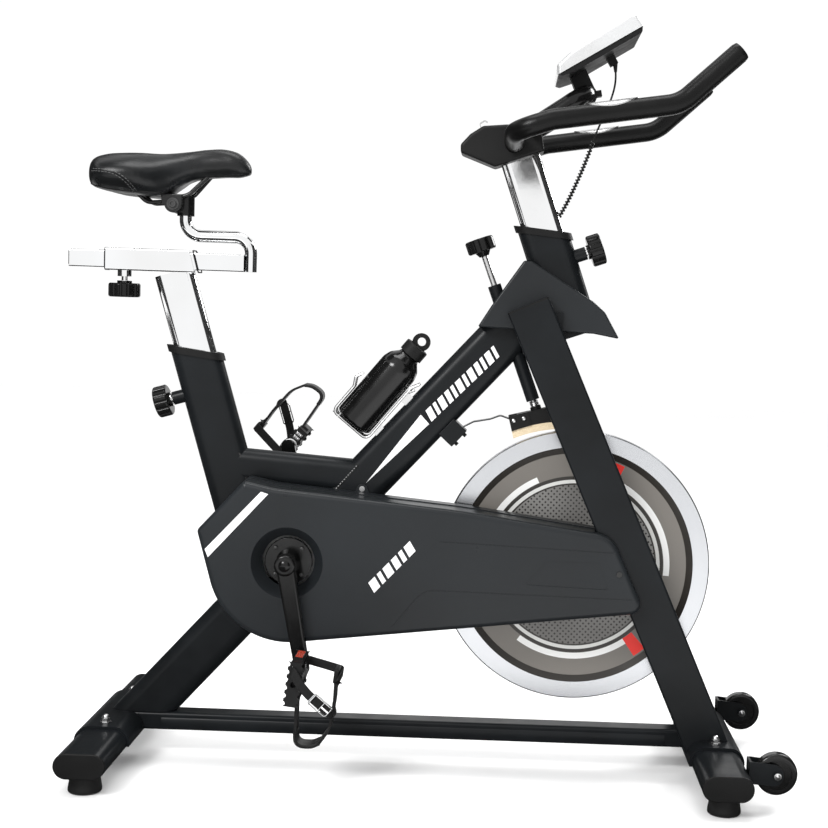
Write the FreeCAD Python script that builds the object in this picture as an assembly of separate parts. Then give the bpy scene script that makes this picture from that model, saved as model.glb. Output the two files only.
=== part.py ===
"""Indoor exercise bike with a belt-driven flywheel, as an assembly of separate parts.

Millimetres. X runs forward, Y to the rider's left and Z up. The origin is on the floor,
below the middle of the bike. Each sub-part is written to parts/NAME.step.
"""
import FreeCAD, Part
import math
import os

V = FreeCAD.Vector
X_AXIS = V(1, 0, 0)
Y_AXIS = V(0, 1, 0)
Z_AXIS = V(0, 0, 1)

# Stance
REAR_X = -507.0
FRONT_X = 485.0
STABILIZER_LENGTH = 500.0
STABILIZER_Z = 49.0
FOOT_Y = 210.0
FOOT_HEIGHT = 28.6

# Tube sections, wide by thick
OVAL_WIDE = 80.0
OVAL_THICK = 40.0
TUBE_WALL = 2.0
FORK_WIDE = 71.0
FORK_THICK = 30.0
FORK_INNER_Y = 50.0
FLOOR_TUBE_WIDE = 40.0
FLOOR_TUBE_TALL = 30.0
FLOOR_TUBE_Z = 59.0
POST_WIDE = 66.0
POST_THICK = 30.0
POST_GAP = 0.4
BRACKET_WALL = 5.0

# Frame lines: each tube runs through a known point at a known angle
CRANK_AXIS = V(-218.0, 0, 347.0)
BEAM_ANGLE = 48.0
SEAT_POINT = V(-387.5, 0, 671.0)
SEAT_TILT = 16.5
HEAD_POINT = V(179.5, 0, 887.0)
HEAD_TILT = 19.6
HEAD_TUBE_LENGTH = 171.0
FORK_TOP = V(156.5, 0, 771.7)
FORK_TILT = 24.1
SEAT_MOUTH_SLOPE = 7.5
HEAD_MOUTH_SLOPE = 5.4
CROSS_TUBE_WIDE = 60.0
CROSS_TUBE_POINT = V(-303.8, 0, 490.8)
CROSS_TUBE_SLOPE = 3.7

# Drive
FLYWHEEL_AXIS = V(248.5, 0, 345.0)
FLYWHEEL_RADIUS = 225.0
CRANK_LENGTH = 170.0
CRANK_ANGLE = -79.5
DRIVE_RADIUS = 100.0
DRIVEN_RADIUS = 30.0
PULLEY_Y = (-48.0, -34.0)
BELT_THICK = 3.0
BELT_GAP = 0.5
SPINDLE_RADIUS = 10.0
CRANK_Y = 108.0
CRANK_THICK = 14.0
PEDAL_Y = 176.0
PEDAL_LENGTH = 70.0
PEDAL_WIDTH = 84.0
PEDAL_THICK = 24.0
RIGHT_PEDAL_PITCH = -96.8
LEFT_PEDAL_PITCH = 51.0

# Covers
COVER_FACE_Y = -98.0
COVER_SPLIT_Y = -49.0
COVER_BACK_Y = -22.0
COVER_WALL = 2.5
CRANK_RECESS = 58.0
CRANK_OPENING = 42.0
SHROUD_HALF = 46.0

# Brake
BRAKE_TILT = 20.7
BRAKE_KNOB_CENTRE = V(75.0, 0, 869.0)
BRAKE_ROD_RADIUS = 5.0
BRAKE_TUBE_RADIUS = 11.0
SHOE_CORNER = V(130.3, 0, 589.8)
SHOE_SLOPE = 14.5
SHOE_LENGTH = 98.0
PAD_CENTRE = FLYWHEEL_AXIS + V(-18.0, 0, 1.2)
PAD_RADIUS = 226.0
PAD_THICK = 12.0

# Seat
SLIDE_Z = 826.0
SLIDE_SIZE = 28.0
SLEEVE_SIZE = 36.0
SLIDE_REAR = -599.0
SLIDE_FRONT = -312.0
SLEEVE_REAR = -538.0
SLEEVE_FRONT = -392.0
SEAT_STEM_RADIUS = 10.0
TILT_AXIS = V(-427.0, 0, 918.0)
CLAMP_HALF = 14.0

# Handlebar
BAR_HALF_SPAN = 195.0
BAR_RADIUS = 16.0
BAR_CORE_RADIUS = 11.0
LOOP_RADIUS = 15.0
LOOP_HALF = 48.0
STEM_HALF = 32.0

# Console
CONSOLE_CORNER = V(187.5, 0, 1138.6)
CONSOLE_TILT = 31.5
CONSOLE_HALF = 76.0

# Bottle
BOTTLE_BASE = V(-127.7, 0, 570.5)
BOTTLE_ANGLE = 51.0
BOTTLE_RADIUS = 33.0
CAGE_WIRE = 2.3

# Transport wheels
WHEEL_AXIS = V(568.0, 0, 57.0)
WHEEL_RADIUS = 33.0
WHEEL_Y = 182.0
WHEEL_WIDTH = 22.0

NODES = {}


def polar(angle, length=1.0):
    """A vector in the side plane, angle in degrees up from the forward direction."""
    turn = math.radians(angle)
    return V(math.cos(turn) * length, 0, math.sin(turn) * length)


def placed(shape, origin, x_dir, z_dir):
    """A shape drawn about the origin, moved so that its X and Z lie along x_dir and z_dir."""
    z = V(z_dir).normalize()
    y = z.cross(V(x_dir)).normalize()
    x = y.cross(z)
    matrix = FreeCAD.Matrix(x.x, y.x, z.x, origin.x,
                            x.y, y.y, z.y, origin.y,
                            x.z, y.z, z.z, origin.z,
                            0, 0, 0, 1)
    moved = shape.copy()
    moved.transformShape(matrix, True)
    return moved


def box(low, high):
    """A box between two corners."""
    return Part.makeBox(high[0] - low[0], high[1] - low[1], high[2] - low[2], V(*low))


def rod(start, end, radius):
    """A round bar between two points."""
    line = end - start
    return Part.makeCylinder(radius, line.Length, start, line)


def across(centre, y0, y1, radius):
    """A round bar lying along Y, from y0 to y1."""
    return rod(V(centre.x, y0, centre.z), V(centre.x, y1, centre.z), radius)


def ring(centre, y0, y1, outer, inner):
    """A round sleeve lying along Y."""
    return across(centre, y0, y1, outer).cut(across(centre, y0, y1, inner))


def join(shapes):
    """One solid from touching or overlapping shapes."""
    whole = shapes[0]
    for shape in shapes[1:]:
        whole = whole.fuse(shape)
    return whole.removeSplitter()


def less(shape, *tools):
    """A shape with the tools cut away."""
    for tool in tools:
        shape = shape.cut(tool)
    return shape


def corner_arc(before, corner, after, radius):
    """The points where a rounded corner starts, is halfway and ends."""
    back = (before - corner).normalize()
    ahead = (after - corner).normalize()
    half = back.getAngle(ahead) / 2
    reach = radius / math.tan(half)
    middle = corner + (back + ahead).normalize() * (radius / math.sin(half) - radius)
    return corner + back * reach, middle, corner + ahead * reach


def rounded_path(points, radii):
    """Straight runs joined by tangent arcs, open at both ends."""
    edges = []
    last = points[0]
    for index, radius in enumerate(radii, 1):
        start, middle, end = corner_arc(points[index - 1], points[index], points[index + 1], radius)
        if (start - last).Length > 1e-3:
            edges.append(Part.makeLine(last, start))
        edges.append(Part.Arc(start, middle, end).toShape())
        last = end
    if (points[-1] - last).Length > 1e-3:
        edges.append(Part.makeLine(last, points[-1]))
    return Part.Wire(edges)


def rounded_loop(points, radii):
    """A closed outline with a radius at each corner, or 0 for a sharp one."""
    count = len(points)
    corners = []
    for index, radius in enumerate(radii):
        here = points[index]
        if radius:
            corners.append(corner_arc(points[index - 1], here, points[(index + 1) % count], radius))
        else:
            corners.append((here, None, here))
    edges = []
    for index, (start, middle, end) in enumerate(corners):
        if middle is not None:
            edges.append(Part.Arc(start, middle, end).toShape())
        following = corners[(index + 1) % count][0]
        if (following - end).Length > 1e-3:
            edges.append(Part.makeLine(end, following))
    return Part.Wire(edges)


def plate(outline, radii, y0, y1):
    """A side outline of (x, z) points made solid from y0 to y1."""
    wire = rounded_loop([V(x, y0, z) for x, z in outline], radii)
    return Part.Face(wire).extrude(V(0, y1 - y0, 0))


def pipe(points, radii, radius):
    """A round bar along straight runs and tangent arcs."""
    path = rounded_path(points, radii)
    start = points[0]
    profile = Part.Wire(Part.makeCircle(radius, start, points[1] - start))
    return path.makePipeShell([profile], True, False)


def band(points, radii, thick, width):
    """A flat strip, wide along Y, along a path in the side plane."""
    path = rounded_path(points, radii)
    line = (points[1] - points[0]).normalize()
    side = line.cross(Y_AXIS) * (thick / 2)
    half = Y_AXIS * (width / 2)
    start = points[0]
    corners = [start + side + half, start + side - half, start - side - half, start - side + half]
    profile = Part.makePolygon(corners + corners[:1])
    return path.makePipeShell([profile], True, False)


def oval_face(wide, thick):
    """A flat oval section in the local XY plane, wide along X."""
    radius = thick / 2
    flat = wide / 2 - radius
    points = [V(-flat, -radius, 0), V(flat, -radius, 0), V(flat, radius, 0), V(-flat, radius, 0)]
    edges = [Part.makeLine(points[0], points[1]),
             Part.Arc(points[1], V(flat + radius, 0, 0), points[2]).toShape(),
             Part.makeLine(points[2], points[3]),
             Part.Arc(points[3], V(-flat - radius, 0, 0), points[0]).toShape()]
    return Part.Face(Part.Wire(edges))


def rect_face(wide, thick, radius):
    """A rectangular section with rounded corners in the local XY plane."""
    x = wide / 2
    y = thick / 2
    points = [V(-x, -y, 0), V(x, -y, 0), V(x, y, 0), V(-x, y, 0)]
    return Part.Face(rounded_loop(points, [radius] * 4))


def bar_along(face, start, end):
    """A section carried along a line in the side plane, its wide way in that plane."""
    line = end - start
    return placed(face.extrude(V(0, 0, line.Length)), start, Y_AXIS.cross(line), line)


def oval_tube(start, end, wide=OVAL_WIDE, thick=OVAL_THICK, wall=TUBE_WALL):
    """A hollow flat-oval tube."""
    outer = bar_along(oval_face(wide, thick), start, end)
    inner = bar_along(oval_face(wide - 2 * wall, thick - 2 * wall), start, end)
    return outer.cut(inner)


def oval_bar(start, end, wide=OVAL_WIDE, thick=OVAL_THICK):
    """The space a flat-oval tube fills, to cut its neighbours with."""
    return bar_along(oval_face(wide, thick), start, end)


def beyond(point, normal, size=600.0):
    """Everything on the far side of a plane."""
    block = Part.makeBox(size, size, size, V(-size / 2, -size / 2, 0))
    return placed(block, point, Y_AXIS.cross(normal), normal)


def rounded(shape, radius, wanted):
    """Rounds the edges that the test picks."""
    edges = [edge for edge in shape.Edges if wanted(edge)]
    return shape.makeFillet(radius, edges)


def node(name, *shapes):
    """Keeps the solids of one sub-part."""
    solids = []
    for shape in shapes:
        solids += shape.Solids
    NODES[name] = solids


# Directions and meeting points of the frame
BEAM_DIR = polar(BEAM_ANGLE)
BEAM_UP = polar(BEAM_ANGLE + 90)
SEAT_DIR = polar(90 + SEAT_TILT)
SEAT_BACK = polar(180 + SEAT_TILT)
HEAD_DIR = polar(90 + HEAD_TILT)
HEAD_FRONT = polar(HEAD_TILT)
FORK_DIR = polar(90 + FORK_TILT)
BRAKE_DIR = polar(90 + BRAKE_TILT)
BRACKET_TOP = STABILIZER_Z + OVAL_THICK / 2 + BRACKET_WALL
SEAT_MOUTH = polar(90 - SEAT_MOUTH_SLOPE)
HEAD_MOUTH = polar(90 - HEAD_MOUTH_SLOPE)
BEAM_START = CRANK_AXIS - BEAM_DIR * 420
BEAM_END = CRANK_AXIS + BEAM_DIR * 660
HEAD_LOW = HEAD_POINT - HEAD_DIR * HEAD_TUBE_LENGTH
HEAD_HIGH = HEAD_POINT + HEAD_DIR * 60
SEAT_HIGH = SEAT_POINT + SEAT_DIR * 60
SEAT_LOW = SEAT_POINT - SEAT_DIR * 385
BEAM_SPACE = oval_bar(BEAM_START, BEAM_END)
HEAD_SPACE = oval_bar(HEAD_LOW, HEAD_HIGH)
SEAT_SPACE = oval_bar(SEAT_LOW, SEAT_HIGH)
BRAKE_TUBE_TOP = BRAKE_KNOB_CENTRE - BRAKE_DIR * 69
BRAKE_TUBE_LOW = BRAKE_KNOB_CENTRE - BRAKE_DIR * 269
BRAKE_TUBE_SPACE = rod(BRAKE_TUBE_LOW, BRAKE_TUBE_TOP, BRAKE_TUBE_RADIUS)
SHELL_SPACE = across(CRANK_AXIS, -32, 32, 25)


def stabilizer_space(x, grow, half):
    """The oval space of a stabilizer with its bracket, grown by a margin."""
    face = oval_face(OVAL_WIDE + 2 * grow, OVAL_THICK + 2 * grow)
    return placed(face.extrude(V(0, 0, 2 * half)), V(x, -half, STABILIZER_Z), X_AXIS, Y_AXIS)


def foot_spots():
    """Where the four feet stand."""
    return [(x, y) for x in (REAR_X, FRONT_X) for y in (-FOOT_Y, FOOT_Y)]


def bolt_spots():
    """Where the bracket bolts go down into the stabilizers."""
    return [(x, y) for x in (REAR_X, FRONT_X) for y in (-90.0, 90.0)]


def make_stabilizers():
    half = STABILIZER_LENGTH / 2
    for name, x in (("rear_stabilizer", REAR_X), ("front_stabilizer", FRONT_X)):
        tube = stabilizer_space(x, 0, half - 3).cut(stabilizer_space(x, -TUBE_WALL, half - 3))
        for foot_x, foot_y in foot_spots():
            tube = tube.cut(rod(V(foot_x, foot_y, 20), V(foot_x, foot_y, 40), 6.5))
        for bolt_x, bolt_y in bolt_spots():
            tube = tube.cut(rod(V(bolt_x, bolt_y, 60), V(bolt_x, bolt_y, 80), 4))
        node(name, tube)


def end_caps():
    """Plastic plugs in the open ends of the stabilizers and the fork legs."""
    half = STABILIZER_LENGTH / 2
    caps = []
    for x in (REAR_X, FRONT_X):
        lip = stabilizer_space(x, 0, half).cut(stabilizer_space(x, 5, half - 3))
        for piece in lip.Solids:
            caps.append(rounded(piece, 1.8, lambda e: abs(abs(e.CenterOfMass.y) - half) < 0.01))
    for side in (-1, 1):
        middle = side * (FORK_INNER_Y + FORK_THICK / 2)
        top = FORK_TOP + V(0, middle, 0)
        cap = bar_along(rect_face(FORK_WIDE, FORK_THICK, 4), top, top + FORK_DIR * 3)
        caps.append(cap)
    return caps


def make_gussets():
    """Saddle brackets over the stabilizers, the fork crown and the axle dropouts."""
    pieces = []
    for x in (REAR_X, FRONT_X):
        saddle = stabilizer_space(x, BRACKET_WALL, 115).cut(stabilizer_space(x, 0, 115))
        saddle = saddle.cut(box((x - 60, -120, 0), (x + 60, 120, 42)))
        for bolt_x, bolt_y in bolt_spots():
            saddle = saddle.cut(rod(V(bolt_x, bolt_y, 60), V(bolt_x, bolt_y, 80), 4))
        pieces.append(saddle)
    crown = box((150, -FORK_INNER_Y, 694), (214, FORK_INNER_Y, 764))
    pieces.append(less(crown, BEAM_SPACE, HEAD_SPACE, BRAKE_TUBE_SPACE))
    for side in (-1, 1):
        near = side * 52.0
        far = side * 60.0
        height = FLYWHEEL_AXIS.z
        reach = FORK_TOP.x + math.tan(math.radians(FORK_TILT)) * (FORK_TOP.z - height)
        outline = [(FLYWHEEL_AXIS.x - 16, height + 16), (FLYWHEEL_AXIS.x - 16, height - 16),
                   (FLYWHEEL_AXIS.x + 16, height - 26), (reach, height - 62),
                   (reach - 30, height + 62), (FLYWHEEL_AXIS.x + 8, height + 26)]
        drop = plate(outline, [14, 14, 10, 0, 0, 10], min(near, far), max(near, far))
        drop = less(drop, leg_space(side, 0), across(FLYWHEEL_AXIS, -80, 80, 6))
        pieces.append(drop)
    node("frame_gussets", *pieces)


def acorn(x, y, z):
    """A washer, a domed nut and the end of its bolt, standing up from z."""
    washer = rod(V(x, y, z), V(x, y, z + 2), 9.5)
    nut = Part.makePolygon([V(x + 7.5 * math.cos(math.radians(60 * i)),
                              y + 7.5 * math.sin(math.radians(60 * i)), z + 2) for i in range(7)])
    nut = Part.Face(nut).extrude(V(0, 0, 6))
    dome = Part.makeSphere(6, V(x, y, z + 8)).common(box((x - 8, y - 8, z + 7), (x + 8, y + 8, z + 20)))
    shank = rod(V(x, y, z - 20), V(x, y, z), 3.9)
    return join([washer, nut, dome, shank])


def make_fasteners():
    """Domed nuts, cover screws, the flywheel axle with its nuts and the crank bearings."""
    pieces = [acorn(x, y, BRACKET_TOP) for x, y in bolt_spots()]
    for x, z in ((317.0, 347.5), (-107.0, 462.0)):
        y = COVER_FACE_Y if x > 0 else -OVAL_THICK / 2 - 2
        pieces.append(across(V(x, 0, z), y - 2.0, y, 4.5).fuse(across(V(x, 0, z), y, y + 2.0, 2.4)))
    pieces.append(flywheel_axle())
    pieces += [ring(CRANK_AXIS, y, y + 12, 20, SPINDLE_RADIUS + 0.05) for y in (-32, 20)]
    node("frame_fasteners", *pieces)


def make_main_tube():
    """The long sloping tube, with the brake guide tube and the crank's bearing shell."""
    tube = oval_tube(BEAM_START, BEAM_END)
    floor_block = box((-900, -100, -300), (900, 100, BRACKET_TOP))
    tube = less(tube, floor_block, SHELL_SPACE, HEAD_SPACE, BRAKE_TUBE_SPACE,
                beyond(HEAD_POINT, HEAD_FRONT))
    body = max(tube.Solids, key=lambda s: s.Volume)
    guide = less(BRAKE_TUBE_SPACE, rod(BRAKE_TUBE_LOW, BRAKE_TUBE_TOP, BRAKE_ROD_RADIUS + 0.08))
    shell = ring(CRANK_AXIS, -32, 32, 25, 20)
    node("main_tube", body, guide, shell)


def pin_boss(face_point, outward):
    """A threaded boss for a spring pin, standing off a tube."""
    boss = rod(face_point - outward * 8, face_point + outward * 17, 11)
    boss = boss.cut(rod(face_point - outward * 12, face_point + outward * 20, 5.4))
    return boss


SEAT_PIN_POINT = V(-371.0, 0, 615.3)
HEAD_PIN_POINT = V(195.0, 0, 843.3)
PIN_REACH = POST_WIDE / 2 + 0.5


def make_seat_tube():
    tube = oval_tube(SEAT_LOW, SEAT_HIGH)
    tube = less(tube, beyond(SEAT_POINT, SEAT_MOUTH), BEAM_SPACE)
    tube = max(tube.Solids, key=lambda s: s.Volume)
    face = SEAT_PIN_POINT + SEAT_BACK * (OVAL_WIDE / 2)
    boss = pin_boss(face, SEAT_BACK)
    hole = rod(SEAT_PIN_POINT + SEAT_BACK * 20, face + SEAT_BACK, 5.4)
    tube = tube.cut(hole)
    inner = oval_bar(SEAT_LOW, SEAT_HIGH, OVAL_WIDE - 2 * TUBE_WALL, OVAL_THICK - 2 * TUBE_WALL)
    node("seat_tube", join([tube, boss.cut(inner)]))


def make_head_tube():
    tube = less(oval_tube(HEAD_LOW, HEAD_HIGH), beyond(HEAD_POINT, HEAD_MOUTH))
    face = HEAD_PIN_POINT + HEAD_FRONT * (OVAL_WIDE / 2)
    boss = pin_boss(face, HEAD_FRONT)
    tube = tube.cut(rod(HEAD_PIN_POINT + HEAD_FRONT * 20, face + HEAD_FRONT, 5.4))
    inner = oval_bar(HEAD_LOW, HEAD_HIGH, OVAL_WIDE - 2 * TUBE_WALL, OVAL_THICK - 2 * TUBE_WALL)
    node("head_tube", join([tube, boss.cut(inner)]))


def make_cross_tube():
    line = polar(-CROSS_TUBE_SLOPE)
    start = CROSS_TUBE_POINT - line * 120
    end = CROSS_TUBE_POINT + line * 230
    tube = less(oval_tube(start, end, CROSS_TUBE_WIDE, OVAL_THICK), SEAT_SPACE, BEAM_SPACE)
    node("cross_tube", max(tube.Solids, key=lambda s: s.Volume))


def make_floor_tube():
    low = FLOOR_TUBE_Z - FLOOR_TUBE_TALL / 2
    start = V(REAR_X, 0, low + FLOOR_TUBE_TALL / 2)
    end = V(FRONT_X, 0, start.z)
    outer = bar_along(rect_face(FLOOR_TUBE_TALL, FLOOR_TUBE_WIDE, 5), start, end)
    inner = bar_along(rect_face(FLOOR_TUBE_TALL - 4, FLOOR_TUBE_WIDE - 4, 3), start, end)
    tube = outer.cut(inner)
    for x in (REAR_X, FRONT_X):
        tube = tube.cut(stabilizer_space(x, BRACKET_WALL, 60))
    node("floor_tube", max(tube.Solids, key=lambda s: s.Volume))


def leg_space(side, grow):
    """The space of one fork leg, -1 for the right leg and 1 for the left."""
    middle = V(0, side * (FORK_INNER_Y + FORK_THICK / 2), 0)
    face = rect_face(FORK_WIDE + 2 * grow, FORK_THICK + 2 * grow, 4)
    return bar_along(face, FORK_TOP - FORK_DIR * 830 + middle, FORK_TOP + middle)


def make_fork_legs():
    legs = []
    for side in (-1, 1):
        middle = V(0, side * (FORK_INNER_Y + FORK_THICK / 2), 0)
        inner = bar_along(rect_face(FORK_WIDE - 4, FORK_THICK - 4, 2.5),
                          FORK_TOP - FORK_DIR * 830 + middle, FORK_TOP + middle)
        leg = less(leg_space(side, 0), inner, stabilizer_space(FRONT_X, BRACKET_WALL, 130),
                   box((0, -120, -100), (900, 120, 47)))
        legs.append(max(leg.Solids, key=lambda s: s.Volume))
    node("fork_legs", *legs)


def make_tube_trim():
    """Plastic bushes in the mouths of the posts' tubes, and plugs in the other tube ends."""
    pieces = end_caps()
    for point, line, mouth in ((SEAT_POINT, SEAT_DIR, SEAT_MOUTH), (HEAD_POINT, HEAD_DIR, HEAD_MOUTH)):
        cap = oval_bar(point - line * 40, point + line * 40, OVAL_WIDE + 7, OVAL_THICK + 7)
        cap = less(cap, beyond(point + mouth * 11, mouth), beyond(point, mouth * -1))
        lining = oval_bar(point - line * 60, point + line * 40, OVAL_WIDE - 2 * TUBE_WALL,
                          OVAL_THICK - 2 * TUBE_WALL).cut(beyond(point, mouth))
        bore = oval_bar(point - line * 80, point + line * 60, POST_WIDE + 2 * POST_GAP,
                        POST_THICK + 2 * POST_GAP)
        pieces.append(less(join([cap, lining]), bore))
    pin = rod(HEAD_PIN_POINT, HEAD_PIN_POINT + HEAD_FRONT * 60, 5.4)
    seat_pin = rod(SEAT_PIN_POINT, SEAT_PIN_POINT + SEAT_BACK * 60, 5.4)
    node("tube_trim", *[less(piece, pin, seat_pin) for piece in pieces])


def make_feet():
    """Rubber levelling feet with their studs up into the stabilizers."""
    for x, y in foot_spots():
        end = "front" if x > 0 else "rear"
        side = "left" if y > 0 else "right"
        cone = Part.makeCone(26, 22.5, FOOT_HEIGHT - 6, V(x, y, 6))
        base = rounded(rod(V(x, y, 0), V(x, y, 6), 26), 3, lambda e: e.CenterOfMass.z < 0.01)
        stud = rod(V(x, y, FOOT_HEIGHT), V(x, y, FOOT_HEIGHT + 22), 6)
        node(end + "_" + side + "_foot", join([base, cone, stud]))


def cover_outline():
    """The belt cover's side outline, with its corner radii."""
    points = [(-365, 395), (-291, 477), (-243, 467), (60, 441), (304, 409), (362, 284), (-312, 204)]
    return points, [9, 9, 150, 900, 46, 17, 131]


def grown_cover(grow, y0, y1):
    """The belt cover's outline grown by a margin and made solid."""
    points, radii = cover_outline()
    wire = rounded_loop([V(x, y0, z) for x, z in points], radii)
    face = Part.Face(wire)
    if grow:
        face = face.makeOffset2D(grow)
    return face.extrude(V(0, y1 - y0, 0))


def groove(points, radii):
    """A shallow channel in the outer face of the belt cover."""
    path = [V(x, COVER_FACE_Y, z) for x, z in points]
    line = (path[1] - path[0]).normalize()
    side = line.cross(Y_AXIS) * 0.9
    deep = Y_AXIS * 0.7
    start = path[0]
    corners = [start + side - deep, start - side - deep, start - side + deep, start + side + deep]
    profile = Part.makePolygon(corners + corners[:1])
    return rounded_path(path, radii).makePipeShell([profile], True, False)


PANEL_DEPTH = 1.1


def make_cover_outer():
    block = grown_cover(0, COVER_FACE_Y, COVER_SPLIT_Y)
    block = rounded(block, 9, lambda e: abs(e.CenterOfMass.y - COVER_FACE_Y) < 0.01)
    hollow = grown_cover(-COVER_WALL, COVER_FACE_Y + COVER_WALL, COVER_SPLIT_Y)
    hollow = rounded(hollow, 6.5, lambda e: abs(e.CenterOfMass.y - COVER_FACE_Y - COVER_WALL) < 0.01)
    shell = block.cut(hollow)
    centre = V(CRANK_AXIS.x, COVER_FACE_Y, CRANK_AXIS.z)
    depth = 22.0
    dish = Part.makeCone(CRANK_RECESS, CRANK_OPENING, depth, centre, Y_AXIS)
    dish_back = Part.makeCone(CRANK_RECESS + COVER_WALL, CRANK_OPENING + COVER_WALL, depth, centre, Y_AXIS)
    shell = less(join([shell, dish_back.cut(across(CRANK_AXIS, -110, COVER_FACE_Y + 0.01, 80))]), dish,
                 across(CRANK_AXIS, COVER_FACE_Y, -60, CRANK_OPENING))
    shell = shell.cut(leg_space(-1, 1.0))
    shell = less(shell, groove([(27, 391), (316, 382)], []),
                 groove([(-47, 248), (3, 311.8), (340, 307)], [40]),
                 plate([(199, 365.5), (284, 365.5), (301.5, 321.5), (163.7, 325.5)], [4, 4, 4, 4],
                       COVER_FACE_Y - 1, COVER_FACE_Y + PANEL_DEPTH),
                 across(V(317.0, 0, 347.5), -110, -90, 2.5))
    node("cover_outer", max(shell.Solids, key=lambda s: s.Volume))


def make_cover_inner():
    block = grown_cover(1.5, COVER_SPLIT_Y, COVER_BACK_Y)
    hollow = grown_cover(1.5 - COVER_WALL, COVER_SPLIT_Y, COVER_BACK_Y - COVER_WALL)
    shell = less(block, hollow, across(CRANK_AXIS, -60, 0, 26), across(FLYWHEEL_AXIS, -60, 0, 40))
    node("cover_inner", max(shell.Solids, key=lambda s: s.Volume))


def make_shroud():
    """The folded cover over the joint of the main tube, head tube and fork."""
    outline = [(147, 846), (160, 845), (262, 783), (281, 767), (306, 724), (264, 731), (75, 736), (97, 772)]
    solid = plate(outline, [5, 5, 12, 14, 2, 0, 2, 30], -SHROUD_HALF, SHROUD_HALF)
    low = 740.0
    solid = rounded(solid, 4, lambda e: abs(abs(e.CenterOfMass.y) - SHROUD_HALF) < 0.01
                    and e.CenterOfMass.z > low)
    inside = [(147, 838), (158, 838), (258, 778), (276, 763), (296, 728), (262, 724), (80, 724), (102, 768)]
    hollow = plate(inside, [5, 5, 10, 12, 0, 0, 0, 20], -SHROUD_HALF + 3, SHROUD_HALF - 3)
    crown = box((150, -FORK_INNER_Y, 694), (214, FORK_INNER_Y, 764))
    shell = less(solid, hollow, BEAM_SPACE, HEAD_SPACE, BRAKE_TUBE_SPACE, crown)
    node("head_shroud", max(shell.Solids, key=lambda s: s.Volume))


def flywheel_axle():
    """The fixed axle that the flywheel turns on, nutted to the dropouts."""
    axle = across(FLYWHEEL_AXIS, -70, 70, 6)
    nuts = []
    for y in (-67, 60):
        flat = Part.makePolygon([V(10.5 * math.cos(math.radians(60 * i)),
                                   10.5 * math.sin(math.radians(60 * i)), 0) for i in range(7)])
        nut = placed(Part.Face(flat).extrude(V(0, 0, 7)), FLYWHEEL_AXIS + V(0, y, 0), X_AXIS, Y_AXIS)
        nuts.append(nut)
    return join([axle] + nuts)


def make_flywheel():
    """The heavy disc: a thick polished rim round a thinner web."""
    rim = FLYWHEEL_RADIUS
    profile = [(25, 9), (60, 9), (64, 6), (186, 6), (197, 11), (rim - 2, 11), (rim, 9)]
    points = [V(radius, y, 0) for radius, y in profile]
    points += [V(radius, -y, 0) for radius, y in reversed(profile)]
    face = Part.Face(Part.makePolygon(points + points[:1]))
    disc = face.revolve(V(0, 0, 0), Y_AXIS, 360)
    disc.translate(FLYWHEEL_AXIS)
    node("flywheel", disc)


def make_flywheel_hub():
    """The hub with its bearings' bore, and the small belt pulley."""
    bore = SPINDLE_RADIUS * 0.6 + 0.05
    hub = ring(FLYWHEEL_AXIS, -33, 33, 25, bore)
    pulley = ring(FLYWHEEL_AXIS, PULLEY_Y[0], PULLEY_Y[1], DRIVEN_RADIUS, bore)
    lips = [ring(FLYWHEEL_AXIS, PULLEY_Y[0] - 1.5, PULLEY_Y[0], DRIVEN_RADIUS + 4, bore),
            ring(FLYWHEEL_AXIS, PULLEY_Y[1], PULLEY_Y[1] + 1.5, DRIVEN_RADIUS + 4, bore)]
    node("flywheel_hub", join([hub, pulley] + lips))


def make_crank_spindle():
    """The spindle with the round flange that is bolted to the large pulley."""
    spindle = across(CRANK_AXIS, -CRANK_Y - CRANK_THICK + 2, CRANK_Y + CRANK_THICK - 2, SPINDLE_RADIUS - 2)
    thick = across(CRANK_AXIS, -CRANK_Y, CRANK_Y, SPINDLE_RADIUS)
    flange = rounded(across(CRANK_AXIS, -78, -72, 38.5), 1.5, lambda e: abs(e.CenterOfMass.y + 78) < 0.01)
    neck = across(CRANK_AXIS, -72, PULLEY_Y[0], 24)
    cone = Part.makeCone(13, 20, 20, CRANK_AXIS + V(0, -98, 0), Y_AXIS)
    screws = []
    for index in range(4):
        spot = CRANK_AXIS + polar(45 + 90 * index, 30)
        screws.append(across(spot, -81, -78, 4))
    node("crank_spindle", join([spindle, thick, flange, neck, cone] + screws))


def make_drive_pulley():
    y0, y1 = PULLEY_Y
    pulley = across(CRANK_AXIS, y0, y1, DRIVE_RADIUS)
    recess = ring(CRANK_AXIS, y0, y0 + 4, DRIVE_RADIUS - 9, 34)
    other = ring(CRANK_AXIS, y1 - 4, y1, DRIVE_RADIUS - 9, 34)
    pulley = less(pulley, recess, other, across(CRANK_AXIS, y0, y1, SPINDLE_RADIUS))
    for index in range(5):
        pulley = pulley.cut(across(CRANK_AXIS + polar(18 + 72 * index, 62), y0, y1, 17))
    node("drive_pulley", pulley)


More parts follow.
